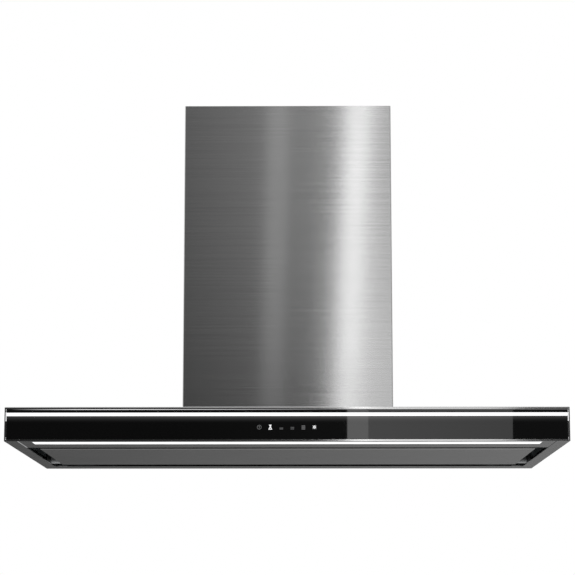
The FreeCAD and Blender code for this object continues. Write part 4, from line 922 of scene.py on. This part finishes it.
        # The white walls stand outside of what the front and the underside mirror
        bright = node(tree, "ShaderNodeMath", {0: mirrored.outputs[0], 1: level["walls"]},
                      operation="MAXIMUM")
        seen = node(tree, "ShaderNodeBackground", {"Color": (1, 1, 1, 1), "Strength": 1.0})
        dim = node(tree, "ShaderNodeBackground", {"Color": (1, 1, 1, 1), "Strength": bright.outputs[0]})
        ray = node(tree, "ShaderNodeLightPath")
        mix = node(tree, "ShaderNodeMixShader", {
            0: ray.outputs["Is Camera Ray"], 1: dim.outputs[0], 2: seen.outputs[0]})
        node(tree, "ShaderNodeOutputWorld", {"Surface": mix.outputs[0]})

    def card(self, name, place, size, brightness, aim):
        """A soft rectangular light that shines with the given brightness all over."""
        lamp = bpy.data.lights.new(name, "AREA")
        lamp.shape = "RECTANGLE"
        lamp.size, lamp.size_y = size
        lamp.energy = brightness * size[0] * size[1] * math.pi
        card = bpy.data.objects.new(name, lamp)
        bpy.context.scene.collection.objects.link(card)
        card.location = place
        card.rotation_euler = (aim - place).to_track_quat("-Z", "Y").to_euler()
        card.visible_camera = False

    def camera(self, scene, stage, base):
        """The camera, fitted to the corners of the canopy and of the flue in the photograph."""
        lens = bpy.data.cameras.new("camera")
        lens.lens = stage.lens
        lens.sensor_width = 36.0
        lens.shift_y = stage.lens_shift
        lens.clip_end = 60.0
        camera = bpy.data.objects.new("camera", lens)
        scene.collection.objects.link(camera)
        camera.location = base + Vector(stage.camera_place)
        camera.rotation_euler = (math.pi / 2 + stage.camera_rise, 0.0, stage.camera_turn)
        scene.camera = camera


class HOOD_PT_panel(bpy.types.Panel):
    """Lists the steps that dress the hood"""
    bl_idname = "HOOD_PT_panel"
    bl_label = "Canopy range hood"
    bl_space_type = "VIEW_3D"
    bl_region_type = "UI"
    bl_category = "Hood"

    def draw(self, context):
        for group in GROUPS:
            settings = getattr(context.scene, group)
            box = self.layout.box()
            for name in settings.bl_rna.properties.keys():
                if name not in ("rna_type", "name"):
                    box.prop(settings, name)
        for step in OPERATORS:
            self.layout.operator(step.bl_idname)


GROUPS = {
    "hood_finish": HoodFinish,
    "hood_signs": HoodSigns,
    "hood_pads": HoodPads,
    "hood_screws": HoodScrews,
    "hood_stage": HoodStage,
}
OPERATORS = (
    HOOD_OT_steel_sheets,
    HOOD_OT_lights,
    HOOD_OT_inner_works,
    HOOD_OT_foam_pads,
    HOOD_OT_touch_signs,
    HOOD_OT_screws,
    HOOD_OT_stage,
)


def register():
    for name, group in GROUPS.items():
        bpy.utils.register_class(group)
        setattr(bpy.types.Scene, name, bpy.props.PointerProperty(type=group))
    for part in (*OPERATORS, HOOD_PT_panel):
        bpy.utils.register_class(part)


def unregister():
    for part in reversed((*OPERATORS, HOOD_PT_panel)):
        bpy.utils.unregister_class(part)
    for name, group in GROUPS.items():
        delattr(bpy.types.Scene, name)
        bpy.utils.unregister_class(group)


def main():
    register()
    bpy.ops.hood.steel_sheets()
    bpy.ops.hood.lights()
    bpy.ops.hood.inner_works()
    bpy.ops.hood.foam_pads()
    bpy.ops.hood.touch_signs()
    bpy.ops.hood.screws()
    bpy.ops.hood.stage()


if __name__ == "__main__":
    main()
